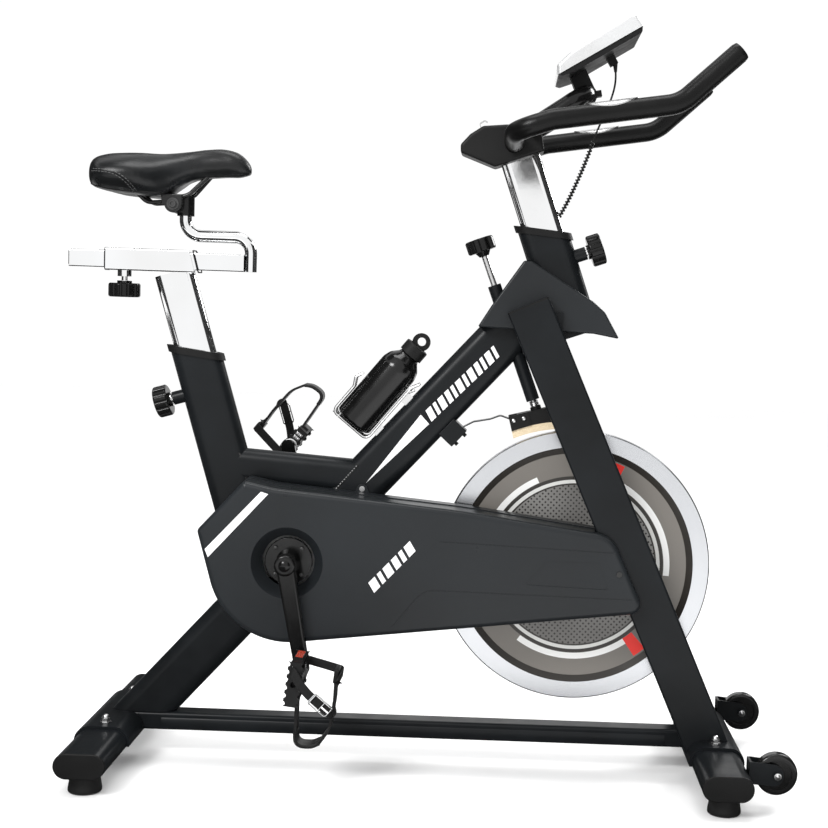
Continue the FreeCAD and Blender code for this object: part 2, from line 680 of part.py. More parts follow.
def make_belt():
    """The flat belt round both pulleys, held just clear of them."""
    line = FLYWHEEL_AXIS - CRANK_AXIS
    base = math.degrees(math.atan2(line.z, line.x))
    lean = math.degrees(math.acos((DRIVE_RADIUS - DRIVEN_RADIUS) / line.Length))
    y0 = PULLEY_Y[0] + 1

    def loop(extra):
        big = DRIVE_RADIUS + extra
        small = DRIVEN_RADIUS + extra
        up = polar(base + lean)
        down = polar(base - lean)
        ends = [CRANK_AXIS + up * big, FLYWHEEL_AXIS + up * small,
                FLYWHEEL_AXIS + down * small, CRANK_AXIS + down * big]
        edges = [Part.makeLine(ends[0], ends[1]),
                 Part.Arc(ends[1], FLYWHEEL_AXIS + polar(base, small), ends[2]).toShape(),
                 Part.makeLine(ends[2], ends[3]),
                 Part.Arc(ends[3], CRANK_AXIS + polar(base + 180, big), ends[0]).toShape()]
        face = Part.Face(Part.Wire(edges))
        face.translate(V(0, y0, 0))
        return face.extrude(V(0, PULLEY_Y[1] - PULLEY_Y[0] - 2, 0))

    node("drive_belt", loop(BELT_GAP + BELT_THICK).cut(loop(BELT_GAP)))


def tapered_arm(start, end, start_radius, end_radius, y0, y1):
    """A flat arm with round ends, tangent sides and a constant thickness."""
    line = end - start
    base = math.degrees(math.atan2(line.z, line.x))
    lean = math.degrees(math.acos((start_radius - end_radius) / line.Length))
    ends = [start + polar(base + lean, start_radius), end + polar(base + lean, end_radius),
            end + polar(base - lean, end_radius), start + polar(base - lean, start_radius)]
    edges = [Part.makeLine(ends[0], ends[1]),
             Part.Arc(ends[1], end + polar(base, end_radius), ends[2]).toShape(),
             Part.makeLine(ends[2], ends[3]),
             Part.Arc(ends[3], start + polar(base + 180, start_radius), ends[0]).toShape()]
    face = Part.Face(Part.Wire(edges))
    face.translate(V(0, y0, 0))
    return face.extrude(V(0, y1 - y0, 0))


def make_cranks():
    for name, side, angle in (("right_crank", -1, CRANK_ANGLE), ("left_crank", 1, CRANK_ANGLE + 180)):
        inner = side * CRANK_Y
        outer = side * (CRANK_Y + CRANK_THICK)
        low, high = min(inner, outer), max(inner, outer)
        eye = CRANK_AXIS + polar(angle, CRANK_LENGTH)
        arm = tapered_arm(CRANK_AXIS, eye, 15, 11.5, low, high)
        arm = rounded(arm, 4, lambda e: abs(e.CenterOfMass.y - outer) < 0.01)
        boss = across(CRANK_AXIS, min(side * 104, outer + side * 4), max(side * 104, outer + side * 4), 17)
        boss = rounded(boss, 4, lambda e: abs(e.CenterOfMass.y - outer - side * 4) < 0.01)
        arm = join([arm, boss])
        arm = less(arm, across(CRANK_AXIS, -CRANK_Y, CRANK_Y, SPINDLE_RADIUS),
                   across(CRANK_AXIS, -CRANK_Y - CRANK_THICK + 2, CRANK_Y + CRANK_THICK - 2,
                          SPINDLE_RADIUS - 2))
        stub = side * (CRANK_Y + CRANK_THICK)
        far = side * (PEDAL_Y + PEDAL_WIDTH / 2 - 8)
        pin = across(eye, min(stub, far), max(stub, far), 5)
        node(name, join([arm, pin]))


def pedal_frame(side, angle, pitch):
    """The pedal's centre, the way its toe points and the way its sole faces."""
    centre = CRANK_AXIS + polar(angle, CRANK_LENGTH) + V(0, side * PEDAL_Y, 0)
    return centre, polar(pitch), polar(pitch + 90)


def pedal_body():
    """The pedal's cage about its own centre: X to the toe, Z to the sole."""
    half_l = PEDAL_LENGTH / 2
    half_w = PEDAL_WIDTH / 2
    frame = box((-half_l, -half_w, -8), (half_l, half_w, 8))
    frame = rounded(frame, 5, lambda e: abs(e.CenterOfMass.z) < 0.01)
    for side in (-1, 1):
        low, high = sorted((side * 15.5, side * (half_l - 5)))
        frame = frame.cut(box((low, -half_w + 6, -9), (high, half_w - 6, 9)))
    barrel = Part.makeCylinder(11, PEDAL_WIDTH - 6, V(0, -half_w + 3, 0), Y_AXIS)
    plates = []
    for side in (-1, 1):
        low, high = sorted((side * half_w, side * (half_w - 4)))
        cheek = box((-half_l, low, -PEDAL_THICK / 2), (half_l, high, PEDAL_THICK / 2))
        for index in range(6):
            x = -half_l + 4 + index * 12.4
            for z in (-PEDAL_THICK / 2 - 1, PEDAL_THICK / 2 + 1):
                cheek = cheek.cut(Part.makeCylinder(4.2, 6, V(x, low - 1, z), Y_AXIS))
        plates.append(cheek)
    body = join([frame, barrel] + plates)
    body = body.cut(Part.makeCylinder(5.06, PEDAL_WIDTH + 10, V(0, -half_w - 5, 0), Y_AXIS))
    reflector = box((-half_l - 4, -20, -6), (-half_l, 20, 7))
    return body, reflector


CLIP_POINTS = [(36, 6), (103, 13), (98, 48), (70, 63), (22, 64), (-26, 60)]
CLIP_RADII = [13, 18, 40, 60]
STRAP_HALF = 45.0


def toe_clip():
    """The springy toe clip, from the pedal's nose over to the strap loop."""
    points = [V(x, 0, z) for x, z in CLIP_POINTS]
    strip = band(points, CLIP_RADII, 4.0, 30.0)
    root = box((PEDAL_LENGTH / 2, -20, -6), (PEDAL_LENGTH / 2 + 4, 20, 8))
    return join([strip, root])


def strap_loop():
    """The toe strap as a closed band through the pedal and over the clip's end."""
    top = 64.5
    low = -4.0
    lean = -0.10
    back = 22.0
    points = [V(-back - low * lean, STRAP_HALF, low), V(-back - low * lean, -STRAP_HALF, low),
              V(-back - top * lean, -STRAP_HALF * 0.72, top), V(-back - top * lean, STRAP_HALF * 0.72, top)]
    wire = rounded_loop(points, [5, 5, 16, 16])
    tangent = V(0, -1, 0)
    across_way = V(1, 0, lean * -1).normalize()
    centre = points[0] + (points[1] - points[0]) * 0.5
    normal = tangent.cross(across_way).normalize()
    half = across_way * 6.5
    thin = normal * 1.1
    corners = [centre + half + thin, centre - half + thin, centre - half - thin, centre + half - thin]
    edges = wire.Edges
    ordered = split_loop(edges, centre)
    profile = Part.makePolygon(corners + corners[:1])
    return ordered.makePipeShell([profile], True, False)


def split_loop(edges, start):
    """The same closed loop, starting at a point in the middle of one straight edge."""
    for index, edge in enumerate(edges):
        first, last = edge.Vertexes[0].Point, edge.Vertexes[-1].Point
        straight = isinstance(edge.Curve, (Part.Line, Part.LineSegment))
        if straight and start.distanceToLine(first, last - first) < 1e-3:
            ahead = [Part.makeLine(start, last)] + edges[index + 1:] + edges[:index]
            return Part.Wire(ahead + [Part.makeLine(first, start)])
    return Part.Wire(edges)


def make_pedals():
    for name, side, angle, pitch in (("right", -1, CRANK_ANGLE, RIGHT_PEDAL_PITCH),
                                     ("left", 1, CRANK_ANGLE + 180, LEFT_PEDAL_PITCH)):
        centre, ahead, sole = pedal_frame(side, angle, pitch)
        body, reflector = pedal_body()
        strap = strap_loop()
        channel = strap_loop()
        body = body.cut(channel)
        clip = toe_clip().cut(strap)
        pieces = [placed(piece, centre, ahead, sole) for piece in (body, reflector, clip)]
        node(name + "_pedal", *pieces)
        node(name + "_toe_strap", placed(strap, centre, ahead, sole))


def shoe_block(y_half, below):
    """The straight block that the brake shoe and its pad are cut from."""
    block = box((0, -y_half, -below), (SHOE_LENGTH, y_half, 0))
    return placed(block, SHOE_CORNER, polar(SHOE_SLOPE), polar(SHOE_SLOPE + 90))


def make_brake():
    outer = across(PAD_CENTRE, -40, 40, PAD_RADIUS + PAD_THICK)
    inner = across(PAD_CENTRE, -40, 40, PAD_RADIUS)
    shoe = shoe_block(13, 60).cut(outer)
    shoe = shoe.cut(placed(box((-1, -20, -60), (14, 20, 1)), SHOE_CORNER, polar(SHOE_SLOPE),
                           polar(SHOE_SLOPE + 90)))
    cheeks = []
    for side in (-1, 1):
        low, high = sorted((side * 13.0, side * 15.5))
        cheek = placed(box((0, low, -60), (34, high, 0)), SHOE_CORNER, polar(SHOE_SLOPE),
                       polar(SHOE_SLOPE + 90)).cut(outer)
        cheeks.append(cheek)
    rivets = []
    for along in (7.0, 24.0):
        spot = SHOE_CORNER + polar(SHOE_SLOPE, along) - polar(SHOE_SLOPE + 90, 9)
        for side in (-1, 1):
            low, high = sorted((side * 15.5, side * 17.2))
            rivets.append(across(spot, low, high, 3.4))
    rod_foot = BRAKE_KNOB_CENTRE - BRAKE_DIR * 285.0
    socket = rod(rod_foot + BRAKE_DIR * 5, rod_foot - BRAKE_DIR * 12, 9)
    rod_hole = rod(rod_foot + BRAKE_DIR * 6, rod_foot - BRAKE_DIR * 3.4, BRAKE_ROD_RADIUS + 0.4)
    shoe = join([shoe, socket.cut(outer)] + cheeks + rivets).cut(rod_hole)
    node("brake_shoe", max(shoe.Solids, key=lambda s: s.Volume))
    node("brake_pad", shoe_block(13, 60).common(outer).cut(inner))
    bar = rod(rod_foot - BRAKE_DIR * 2.0, BRAKE_KNOB_CENTRE - BRAKE_DIR * 14, BRAKE_ROD_RADIUS)
    coils = []
    for index in range(3):
        spot = BRAKE_TUBE_LOW - BRAKE_DIR * (2.6 + 2.6 * index)
        coils.append(Part.makeTorus(BRAKE_ROD_RADIUS + 1.1, 1.2, spot, BRAKE_DIR))
    node("brake_rod", bar, *[coil.cut(bar) for coil in coils])


def star_knob(radius, thick, lobes, dip):
    """A hand knob about the local Z axis with rounded lobes."""
    body = Part.makeCylinder(radius, thick)
    body = body.makeFillet(3.5, [e for e in body.Edges if isinstance(e.Curve, Part.Circle)])
    for index in range(lobes):
        turn = math.radians(360.0 / lobes * index)
        spot = V(math.cos(turn) * (radius + dip * 0.45), math.sin(turn) * (radius + dip * 0.45), -1)
        body = body.cut(Part.makeCylinder(dip, thick + 2, spot))
    return body


def make_tension_knob():
    knob = star_knob(24, 22, 7, 7.0)
    neck = Part.makeCone(8, 13, 8, V(0, 0, -7.9))
    whole = join([knob, neck])
    centre = BRAKE_KNOB_CENTRE - BRAKE_DIR * 11
    whole = placed(whole, centre, polar(BRAKE_TILT), BRAKE_DIR)
    socket = rod(centre - BRAKE_DIR * 9, centre - BRAKE_DIR * 2.6, BRAKE_ROD_RADIUS + 0.06)
    node("tension_knob", whole.cut(socket))


def spring_pin(name, point, outward, reach, stand):
    """A pull knob on a spring-loaded pin. Its tip stops just short of the post."""
    pin = rod(point + outward * reach, point + outward * (stand + 2), 5.0)
    knob = star_knob(26, 23, 14, 3.2)
    knob = placed(knob, point + outward * stand, Y_AXIS, outward)
    neck = rod(point + outward * (stand - 4), point + outward * stand, 12)
    node(name, join([pin, knob, neck]))


def make_pins():
    spring_pin("seat_height_pin", SEAT_PIN_POINT, SEAT_BACK, PIN_REACH, 63.0)
    spring_pin("bar_height_pin", HEAD_PIN_POINT, HEAD_FRONT, PIN_REACH, 62.5)
    bottom = V(-510.0, 0, SLIDE_Z)
    spring_pin("seat_slide_pin", bottom, Z_AXIS * -1, SLIDE_SIZE / 2 + 0.5, 39.0)


def post_holes(point, line, facing, count, first, pitch):
    """The row of adjusting holes in one narrow face of a post."""
    holes = []
    for index in range(count):
        spot = point + line * (first + pitch * index)
        holes.append(rod(spot + facing * 20, spot + facing * 40, 5.2))
    return holes


def make_seat_post():
    """The height post with the square sleeve that carries the slide."""
    top = SEAT_POINT + SEAT_DIR * 142
    post = oval_tube(SEAT_POINT - SEAT_DIR * 145, top, POST_WIDE, POST_THICK)
    low = SLIDE_Z - SLEEVE_SIZE / 2
    post = post.cut(box((-700, -50, low), (-200, 50, low + 200)))
    post = less(post, *post_holes(SEAT_PIN_POINT, SEAT_DIR, SEAT_BACK, 6, -50, 25))
    half = SLEEVE_SIZE / 2
    sleeve = box((SLEEVE_REAR, -half, low), (SLEEVE_FRONT, half, low + SLEEVE_SIZE))
    sleeve = rounded(sleeve, 2.5, lambda e: abs(e.tangentAt(e.FirstParameter).x) > 0.9)
    slant = beyond(V(SLEEVE_FRONT, 0, low), polar(15))
    bore_half = SLIDE_SIZE / 2 + POST_GAP
    bore = box((-700, -bore_half, SLIDE_Z - bore_half), (-200, bore_half, SLIDE_Z + bore_half))
    pin_x = -510.0
    boss = rod(V(pin_x, 0, low), V(pin_x, 0, low - 10), 11.5)
    pin_hole = rod(V(pin_x, 0, SLIDE_Z), V(pin_x, 0, low - 12), 5.4)
    node("seat_post", less(join([post, sleeve.cut(slant), boss]), bore, pin_hole))


def make_seat_slide():
    """The fore-and-aft slide with the bent stem that carries the saddle."""
    half = SLIDE_SIZE / 2
    outer = box((SLIDE_REAR, -half, SLIDE_Z - half), (SLIDE_FRONT, half, SLIDE_Z + half))
    outer = rounded(outer, 2, lambda e: abs(e.tangentAt(e.FirstParameter).x) > 0.9)
    inner = box((SLIDE_REAR + 2, -half + 2, SLIDE_Z - half + 2), (SLIDE_FRONT, half - 2, SLIDE_Z + half - 2))
    slide = outer.cut(inner)
    for index in range(8):
        x = -510.0 + (index - 3) * 20
        slide = slide.cut(rod(V(x, 0, SLIDE_Z - half - 1), V(x, 0, SLIDE_Z - 8), 5.2))
    front = SLIDE_FRONT + SEAT_STEM_RADIUS - 0.5
    rise = 868.0
    stem = pipe([V(front, 0, SLIDE_Z - half), V(front, 0, rise), V(-411, 0, rise), V(-411, 0, 928)],
                [26, 26], SEAT_STEM_RADIUS)
    lug = rod(V(-411, 0, 900), V(-411, 0, 930), 14).cut(rod(V(-411, 0, 890), V(-411, 0, 940), 10))
    ear = across(TILT_AXIS, -CLAMP_HALF, CLAMP_HALF, 13)
    ear = ear.fuse(box((-427, -CLAMP_HALF, 905), (-411, CLAMP_HALF, 930)))
    ear = less(ear, rod(V(-411, 0, 890), V(-411, 0, 940), 14), across(TILT_AXIS, -20, 20, 5))
    node("seat_slide", join([slide, stem.cut(inner)]))
    node("saddle_clamp", join([lug, ear]).cut(across(TILT_AXIS, -20, 20, 5)))


def make_saddle_rails():
    """Two steel rails under the saddle, held in the tilting clamp."""
    pieces = []
    for side in (-1, 1):
        y_front, y_mid, y_rear = side * 10.0, side * 21.0, side * 27.0
        points = [V(-372, y_front, 966), V(-402, y_mid, 934), V(-445, y_mid, 921),
                  V(-470, y_mid, 919), V(-496, y_rear, 944)]
        pieces.append(pipe(points, [18, 60, 18], 3.5))
    low, high = CLAMP_HALF + 0.4, 28.0
    jaws = []
    for side in (-1, 1):
        y0, y1 = sorted((side * low, side * high))
        jaw = across(TILT_AXIS, y0, y1, 14).fuse(box((-446, y0, 916), (-412, y1, 934)))
        jaws.append(rounded(jaw.removeSplitter(), 1.5, lambda e: abs(e.CenterOfMass.y - side * high) < 0.01))
    bolt = across(TILT_AXIS, -31, 31, 4.6)
    rails = pieces
    jaws = [less(jaw, *rails) for jaw in jaws]
    node("saddle_rails", join([jaws[0], jaws[1], bolt]), *rails)


SADDLE_PLAN = [(-568, -92), (-478, -92), (-396, -27), (-300, -22),
               (-300, 22), (-396, 27), (-478, 92), (-568, 92)]
SADDLE_RADII = [52, 60, 70, 21, 21, 70, 60, 52]
SADDLE_SIDE = [(-300, 980), (-318, 1003), (-350, 1010), (-424, 999), (-520, 993), (-556, 986), (-567, 962),
               (-556, 938), (-520, 926), (-440, 926), (-398, 960), (-348, 969), (-304, 969)]
SADDLE_SIDE_RADII = [6, 14, 60, 120, 60, 14, 14, 14, 20, 14, 40, 40, 4]


def plan_prism(inset, z0, z1):
    """The saddle's pear-shaped plan, drawn in by an inset, between two heights."""
    face = Part.Face(rounded_loop([V(x, y, z0) for x, y in SADDLE_PLAN], SADDLE_RADII))
    if inset:
        face = face.makeOffset2D(-inset)
    return face.extrude(V(0, 0, z1 - z0))


def make_saddle():
    side = plate(SADDLE_SIDE, SADDLE_SIDE_RADII, -120, 120)
    whole = plan_prism(0, 900, 1040).common(side)
    under = [(-560, 900), (-560, 950), (-440, 950), (-400, 966), (-300, 977), (-300, 900)]
    pocket = plate(under, [0] * 6, -120, 120).common(plan_prism(14, 890, 1040))
    base_side = [(-560, 945), (-560, 950), (-440, 950), (-400, 966), (-300, 977), (-300, 971), (-399, 960),
                 (-438, 945)]
    base = plate(base_side, [0] * 8, -120, 120).common(plan_prism(14, 890, 1040))
    node("saddle_cushion", less(whole, pocket, *NODES["saddle_rails"]))
    node("saddle_base", less(base, *NODES["saddle_rails"]))


STEM_ORIGIN = HEAD_POINT + HEAD_DIR * ((1020.0 - HEAD_POINT.z) / HEAD_DIR.z)
BAR_CENTRE = STEM_ORIGIN + HEAD_FRONT * -2.3 + HEAD_DIR * 16.2


def bar_route(side):
    """One side of the handlebar, from the stem out and forward to the end."""
    y = side * BAR_HALF_SPAN
    x, z = BAR_CENTRE.x, BAR_CENTRE.z
    return [V(x, side * 20, z), V(x, y, z + 2), V(x + 56, y, z + 21), V(x + 248, y, z + 51),
            V(x + 332, y, z + 129)]


BAR_RADII = [34, 60, 60]
LOOP_FRONT = V(238.0, 0, 1117.0)


def loop_route():
    """The centre loop that carries the console."""
    back = V(STEM_ORIGIN.x + 14, 0, STEM_ORIGIN.z + 34)
    y = V(0, LOOP_HALF, 0)
    return [back - y, LOOP_FRONT - y, LOOP_FRONT + y, back + y]


LOOP_RADII = [32, 32]


def make_handlebar():
    """The chromed height post, the bent bar inside the foam and the foam itself."""
    post = oval_tube(HEAD_POINT - HEAD_DIR * 128, STEM_ORIGIN + HEAD_DIR * 12, POST_WIDE, POST_THICK)
    post = less(post, *post_holes(HEAD_PIN_POINT, HEAD_DIR, HEAD_FRONT, 5, -50, 25))
    lead_end, lead_way = LEAD_POINTS[-1], (LEAD_POINTS[-1] - LEAD_POINTS[-2]).normalize()
    post = post.cut(rod(lead_end - lead_way * 20, lead_end + lead_way * 4, 4))
    right, left = bar_route(-1)[1:], bar_route(1)[1:]
    bar = pipe(right[::-1] + left, BAR_RADII[::-1] + BAR_RADII, BAR_CORE_RADIUS)
    post = post.cut(bar)
    foam = []
    for side in (-1, 1):
        core = pipe(bar_route(side), BAR_RADII, BAR_CORE_RADIUS)
        cover = pipe(bar_route(side), BAR_RADII, BAR_RADIUS)
        inside = sorted((0, side * (STEM_HALF + 0.5)))
        stem_room = box((-100, inside[0], 900), (400, inside[1], 1200))
        end = bar_route(side)[-1]
        way = (end - bar_route(side)[-2]).normalize()
        cap = Part.makeSphere(BAR_RADIUS - 0.4, end).common(rod(end - way, end + way * 6, BAR_RADIUS))
        foam.append(join([less(cover, core, stem_room), cap.cut(core)]))
    node("handlebar_frame", post, bar)
    node("bar_foam", *foam)
    return less(pipe(loop_route(), LOOP_RADII, LOOP_RADIUS), *foam)


def make_stem(loop):
    """The pressed cover round the clamp where post, bar and loop meet."""
    outline = [(-90, 28), (-86, 41), (-66, 52), (-42, 58), (-6, 49), (47, 32), (40, -10.5), (-44, -10.5)]
    solid = prism_at(outline, [5, 8, 14, 8, 30, 5, 3, 8], STEM_ORIGIN, HEAD_TILT, STEM_HALF)
    solid = rounded(solid, 5, lambda e: abs(abs(e.CenterOfMass.y) - STEM_HALF) < 0.01)
    inside = [(-84, 28), (-80, 38), (-64, 48), (-42, 54), (-6, 45), (43, 29), (37, -7), (-43, -7)]
    hollow = prism_at(inside, [3, 6, 10, 6, 24, 3, 2, 6], STEM_ORIGIN, HEAD_TILT, STEM_HALF - 3)
    bore = bar_along(oval_face(POST_WIDE + 0.2, POST_THICK + 0.2), STEM_ORIGIN - HEAD_DIR * 60,
                     STEM_ORIGIN + HEAD_DIR * 12)
    cover = less(solid, hollow, bore, across(BAR_CENTRE, -60, 60, BAR_RADIUS))
    cover = max(cover.Solids, key=lambda s: s.Volume)
    node("stem_cover", cover)
    loop = less(loop, solid, *NODES["handlebar_frame"])
    node("console_loop", max(loop.Solids, key=lambda s: s.Volume))


def prism_at(outline, radii, origin, tilt, half):
    """A side outline given in a tilted frame, made solid across the bike."""
    ahead, up = polar(tilt), polar(tilt + 90)
    points = [origin + ahead * x + up * z for x, z in outline]
    flat = [(point.x, point.z) for point in points]
    return plate(flat, radii, -half, half)


PULSE_PLATE_LOW = 7.5


def make_bar_fittings():
    """Pulse plates clipped on the bars and the spring hook on the stem."""
    pieces = []
    for side in (-1, 1):
        route = bar_route(side)
        start, end = route[2], route[3]
        way = (end - start).normalize()
        first = start + way * 52
        last = start + way * 132
        shell = rod(first, last, BAR_RADIUS + 1.6).cut(rod(first, last, BAR_RADIUS))
        lower = placed(Part.makeBox(200, 80, 80, V(-20, -40, -80 + PULSE_PLATE_LOW)), first, way,
                       Y_AXIS.cross(way) * -1)
        leaf = Part.Face(Part.Wire(Part.Ellipse(V(40, 0, 0), 40.0, 14.0).toShape())).extrude(V(0, 0, 40))
        leaf = placed(leaf, first, way, Y_AXIS.cross(way) * -1)
        pieces.append(shell.cut(lower).common(leaf))
    hook_at = [(-46, 58.5), (-46, 66), (-37, 68), (-33, 64)]
    ahead, up = polar(HEAD_TILT), polar(HEAD_TILT + 90)
    hook = band([STEM_ORIGIN + ahead * x + up * z for x, z in hook_at], [3, 2], 1.5, 14)
    pieces.append(hook)
    node("bar_fittings", *pieces)


def console_point(x, z, y=0.0):
    """A place in the console's own tilted frame."""
    point = CONSOLE_CORNER + polar(CONSOLE_TILT, x) + polar(CONSOLE_TILT + 90, z)
    return V(point.x, y, point.z)


def make_console():
    """The display: silver front shell, dark base with its bracket, lens and button."""
    front = [(1, 0), (9, 15), (35, 21.5), (148, 26), (156, 20), (158, 0)]
    shell = prism_at(front, [0, 8, 60, 8, 8, 0], CONSOLE_CORNER, CONSOLE_TILT, CONSOLE_HALF)
    shell = rounded(shell, 6, lambda e: abs(abs(e.CenterOfMass.y) - CONSOLE_HALF) < 0.01
                    and (e.CenterOfMass - CONSOLE_CORNER).dot(polar(CONSOLE_TILT + 90)) > 1)
    inside = [(5, 0), (12, 11.5), (36, 18.5), (147, 22.5), (153, 17), (154, 0)]
    shell = shell.cut(prism_at(inside, [1, 6, 50, 6, 6, 0], CONSOLE_CORNER, CONSOLE_TILT, CONSOLE_HALF - 3))
    window = placed(box((62, -46, 14), (132, 46, 40)), CONSOLE_CORNER, polar(CONSOLE_TILT),
                    polar(CONSOLE_TILT + 90))
    key_room = rod(console_point(40, 10), console_point(40, 40), 9.4)
    node("console_shell", less(shell, window, key_room))
    lens = placed(box((58.5, -49, 18.2), (135.5, 49, 20.2)), CONSOLE_CORNER, polar(CONSOLE_TILT),
                  polar(CONSOLE_TILT + 90))
    lens_top = placed(box((62, -46, 20.2), (132, 46, 22.6)), CONSOLE_CORNER, polar(CONSOLE_TILT),
                      polar(CONSOLE_TILT + 90))
    lens = lens.fuse(lens_top).removeSplitter()
    node("console_screen", less(lens, *NODES["console_shell"]))
    key = rod(console_point(40, 15), console_point(40, 25), 9.0)
    key = rounded(key, 1.5, lambda e: (e.CenterOfMass - console_point(40, 25)).Length < 0.01)
    node("console_button", key)
    back = [(3, 0), (156, 0), (151, -8), (28, -9), (8, -5)]
    base = prism_at(back, [0, 0, 5, 5, 3], CONSOLE_CORNER, CONSOLE_TILT, CONSOLE_HALF - 2)
    loop_bar = rod(LOOP_FRONT - V(0, 60, 0), LOOP_FRONT + V(0, 60, 0), LOOP_RADIUS)
    arm = [(24, -7), (52, -7), (49, -46), (18, -46)]
    arm = prism_at(arm, [0, 0, 6, 6], CONSOLE_CORNER, CONSOLE_TILT, 13)
    strap = rod(LOOP_FRONT - V(0, 13, 0), LOOP_FRONT + V(0, 13, 0), LOOP_RADIUS + 3)
    ear_line = polar(CONSOLE_TILT - 20)
    ears = placed(box((14, -9, -5), (26, 9, 5)), LOOP_FRONT, ear_line, polar(CONSOLE_TILT + 70))
    bracket = less(join([base, arm, strap, ears]), loop_bar)
    node("console_base", bracket)


def make_plug():
    """The signal plug in the console's back with its strain relief."""
    x, top = 97.0, -9.0
    body = placed(box((x - 7, -6, top - 15), (x + 7, 6, top)), CONSOLE_CORNER, polar(CONSOLE_TILT),
                  polar(CONSOLE_TILT + 90))
    line = LEAD_POINTS[1] - LEAD_POINTS[0]
    relief = Part.makeCone(2.4, 4.4, 16, LEAD_POINTS[0], line * -1)
    node("console_plug", join([body, relief]))


LEAD_RADIUS = 1.6
LEAD_POINTS = [V(285.3, 0, 1157.6), V(286.6, 0, 1143.5), V(281.5, 1.5, 1118.0), V(270.5, 3.0, 1089.0),
               V(257.5, 3.5, 1059.0), V(247.0, 2.5, 1025.0), V(234.0, 1.0, 990.0), V(220.5, 0, 957.0),
               V(208.8, 0, 932.5), V(200.5, 0, 917.5)]


def make_lead():
    """The console's lead, hanging from the plug into the front of the post."""
    radii = []
    for index in range(1, len(LEAD_POINTS) - 1):
        before, here, after = LEAD_POINTS[index - 1:index + 2]
        shorter = min((before - here).Length, (after - here).Length)
        turn = math.pi - (before - here).getAngle(after - here)
        radii.append(0.45 * shorter / math.tan(turn / 2))
    print("lead radii", [round(radius) for radius in radii])
    tube = pipe(LEAD_POINTS, radii, LEAD_RADIUS)
    length = rounded_path(LEAD_POINTS, radii).Length
    print("lead length", round(length), "volume error",
          round(tube.Volume / (math.pi * LEAD_RADIUS ** 2 * length) - 1, 4))
    node("console_lead", tube)


def make_bottle():
    """The bottle in its cage, with a screw cap that carries a ring."""
    line = polar(BOTTLE_ANGLE)
    up = polar(BOTTLE_ANGLE + 90)
    points = [V(0, 0, 0), V(29, 0, 0), V(33, 0, 4), V(33, 0, 118), V(29, 0, 131), V(19, 0, 142),
              V(17, 0, 146), V(17, 0, 156), V(0, 0, 156)]
    wire = rounded_loop(points, [0, 3, 3, 24, 16, 6, 2, 0, 0])
    body = Part.Face(wire).revolve(V(0, 0, 0), Z_AXIS, 360)
    node("bottle", placed(body, BOTTLE_BASE, up, line))
    cap = rod(V(0, 0, 146.5), V(0, 0, 166), 20.5).cut(rod(V(0, 0, 140), V(0, 0, 156.4), 17.4))
    cap = rounded(cap, 2.5, lambda e: abs(e.CenterOfMass.z - 166) < 0.01)
    loop = Part.makeCylinder(15, 8, V(0, -4, 175), Y_AXIS).fuse(box((-13, -4, 162), (13, 4, 174)))
    loop = loop.cut(Part.makeCylinder(7, 12, V(0, -6, 176), Y_AXIS))
    node("bottle_cap", placed(join([cap, loop]), BOTTLE_BASE, up, line))


def make_cage():
    """The wire bottle cage on its two standoffs."""
    line = polar(BOTTLE_ANGLE)
    up = polar(BOTTLE_ANGLE + 90)
    reach = BOTTLE_RADIUS + CAGE_WIRE + 1.2

    def at(x, y, z):
        return BOTTLE_BASE + line * x + up * z + V(0, y, 0)

    wires = []
    for y in (-13.0, 0.0, 13.0):
        top_x = 121 if y else 108
        points = [at(top_x, y, -reach - 7), at(top_x - 14, y, -reach), at(-6, y, -reach), at(-6, y, reach)]
        radii = [12, 10]
        if y:
            points += [at(48, y, reach), at(62, y, reach + 8), at(73, y, reach + 3)]
            radii += [10, 10, 6]
        wires.append(pipe(points, radii, CAGE_WIRE))
    links = [rod(at(72.5, -15, reach + 3), at(72.5, 15, reach + 3), CAGE_WIRE - 0.2),
             rod(at(102, -15, -reach), at(102, 15, -reach), CAGE_WIRE - 0.2),
             rod(at(-6, -15, reach - 12), at(-6, 15, reach - 12), CAGE_WIRE - 0.2)]
    stands = []
    for x in (18.0, 88.0):
        block = placed(box((x - 9, -8, -reach - 30), (x + 9, 8, -reach + 1)), BOTTLE_BASE, line, up)
        stands.append(block.cut(BEAM_SPACE))
    node("bottle_cage", max(join(wires + links + stands).Solids, key=lambda s: s.Volume))


def make_brake_anchor():
    """The bracket under the main tube and the leaf that holds the shoe against drag."""
    corner = CRANK_AXIS + BEAM_DIR * 312 - BEAM_UP * (OVAL_WIDE / 2)
    block = placed(box((0, -16, -24), (36, 16, 6)), corner, BEAM_DIR, BEAM_UP)
    block = rounded(block, 1.5, lambda e: True).cut(BEAM_SPACE)
    bolts = []
    for x in (8.0, 28.0):
        low = corner + BEAM_DIR * x - BEAM_UP * 29
        bolts.append(rod(low, low + BEAM_UP * 5, 3.2))
    start = corner + BEAM_DIR * 35.5 - BEAM_UP * 15
    route = [start, V(73, 0, 578), V(101, 0, 583.5), V(117, 0, 590), V(133.5, 0, 584.5)]
    leaf = band(route, [6, 20, 10], 1.6, 20)
    node("brake_anchor", join([block, leaf] + bolts))


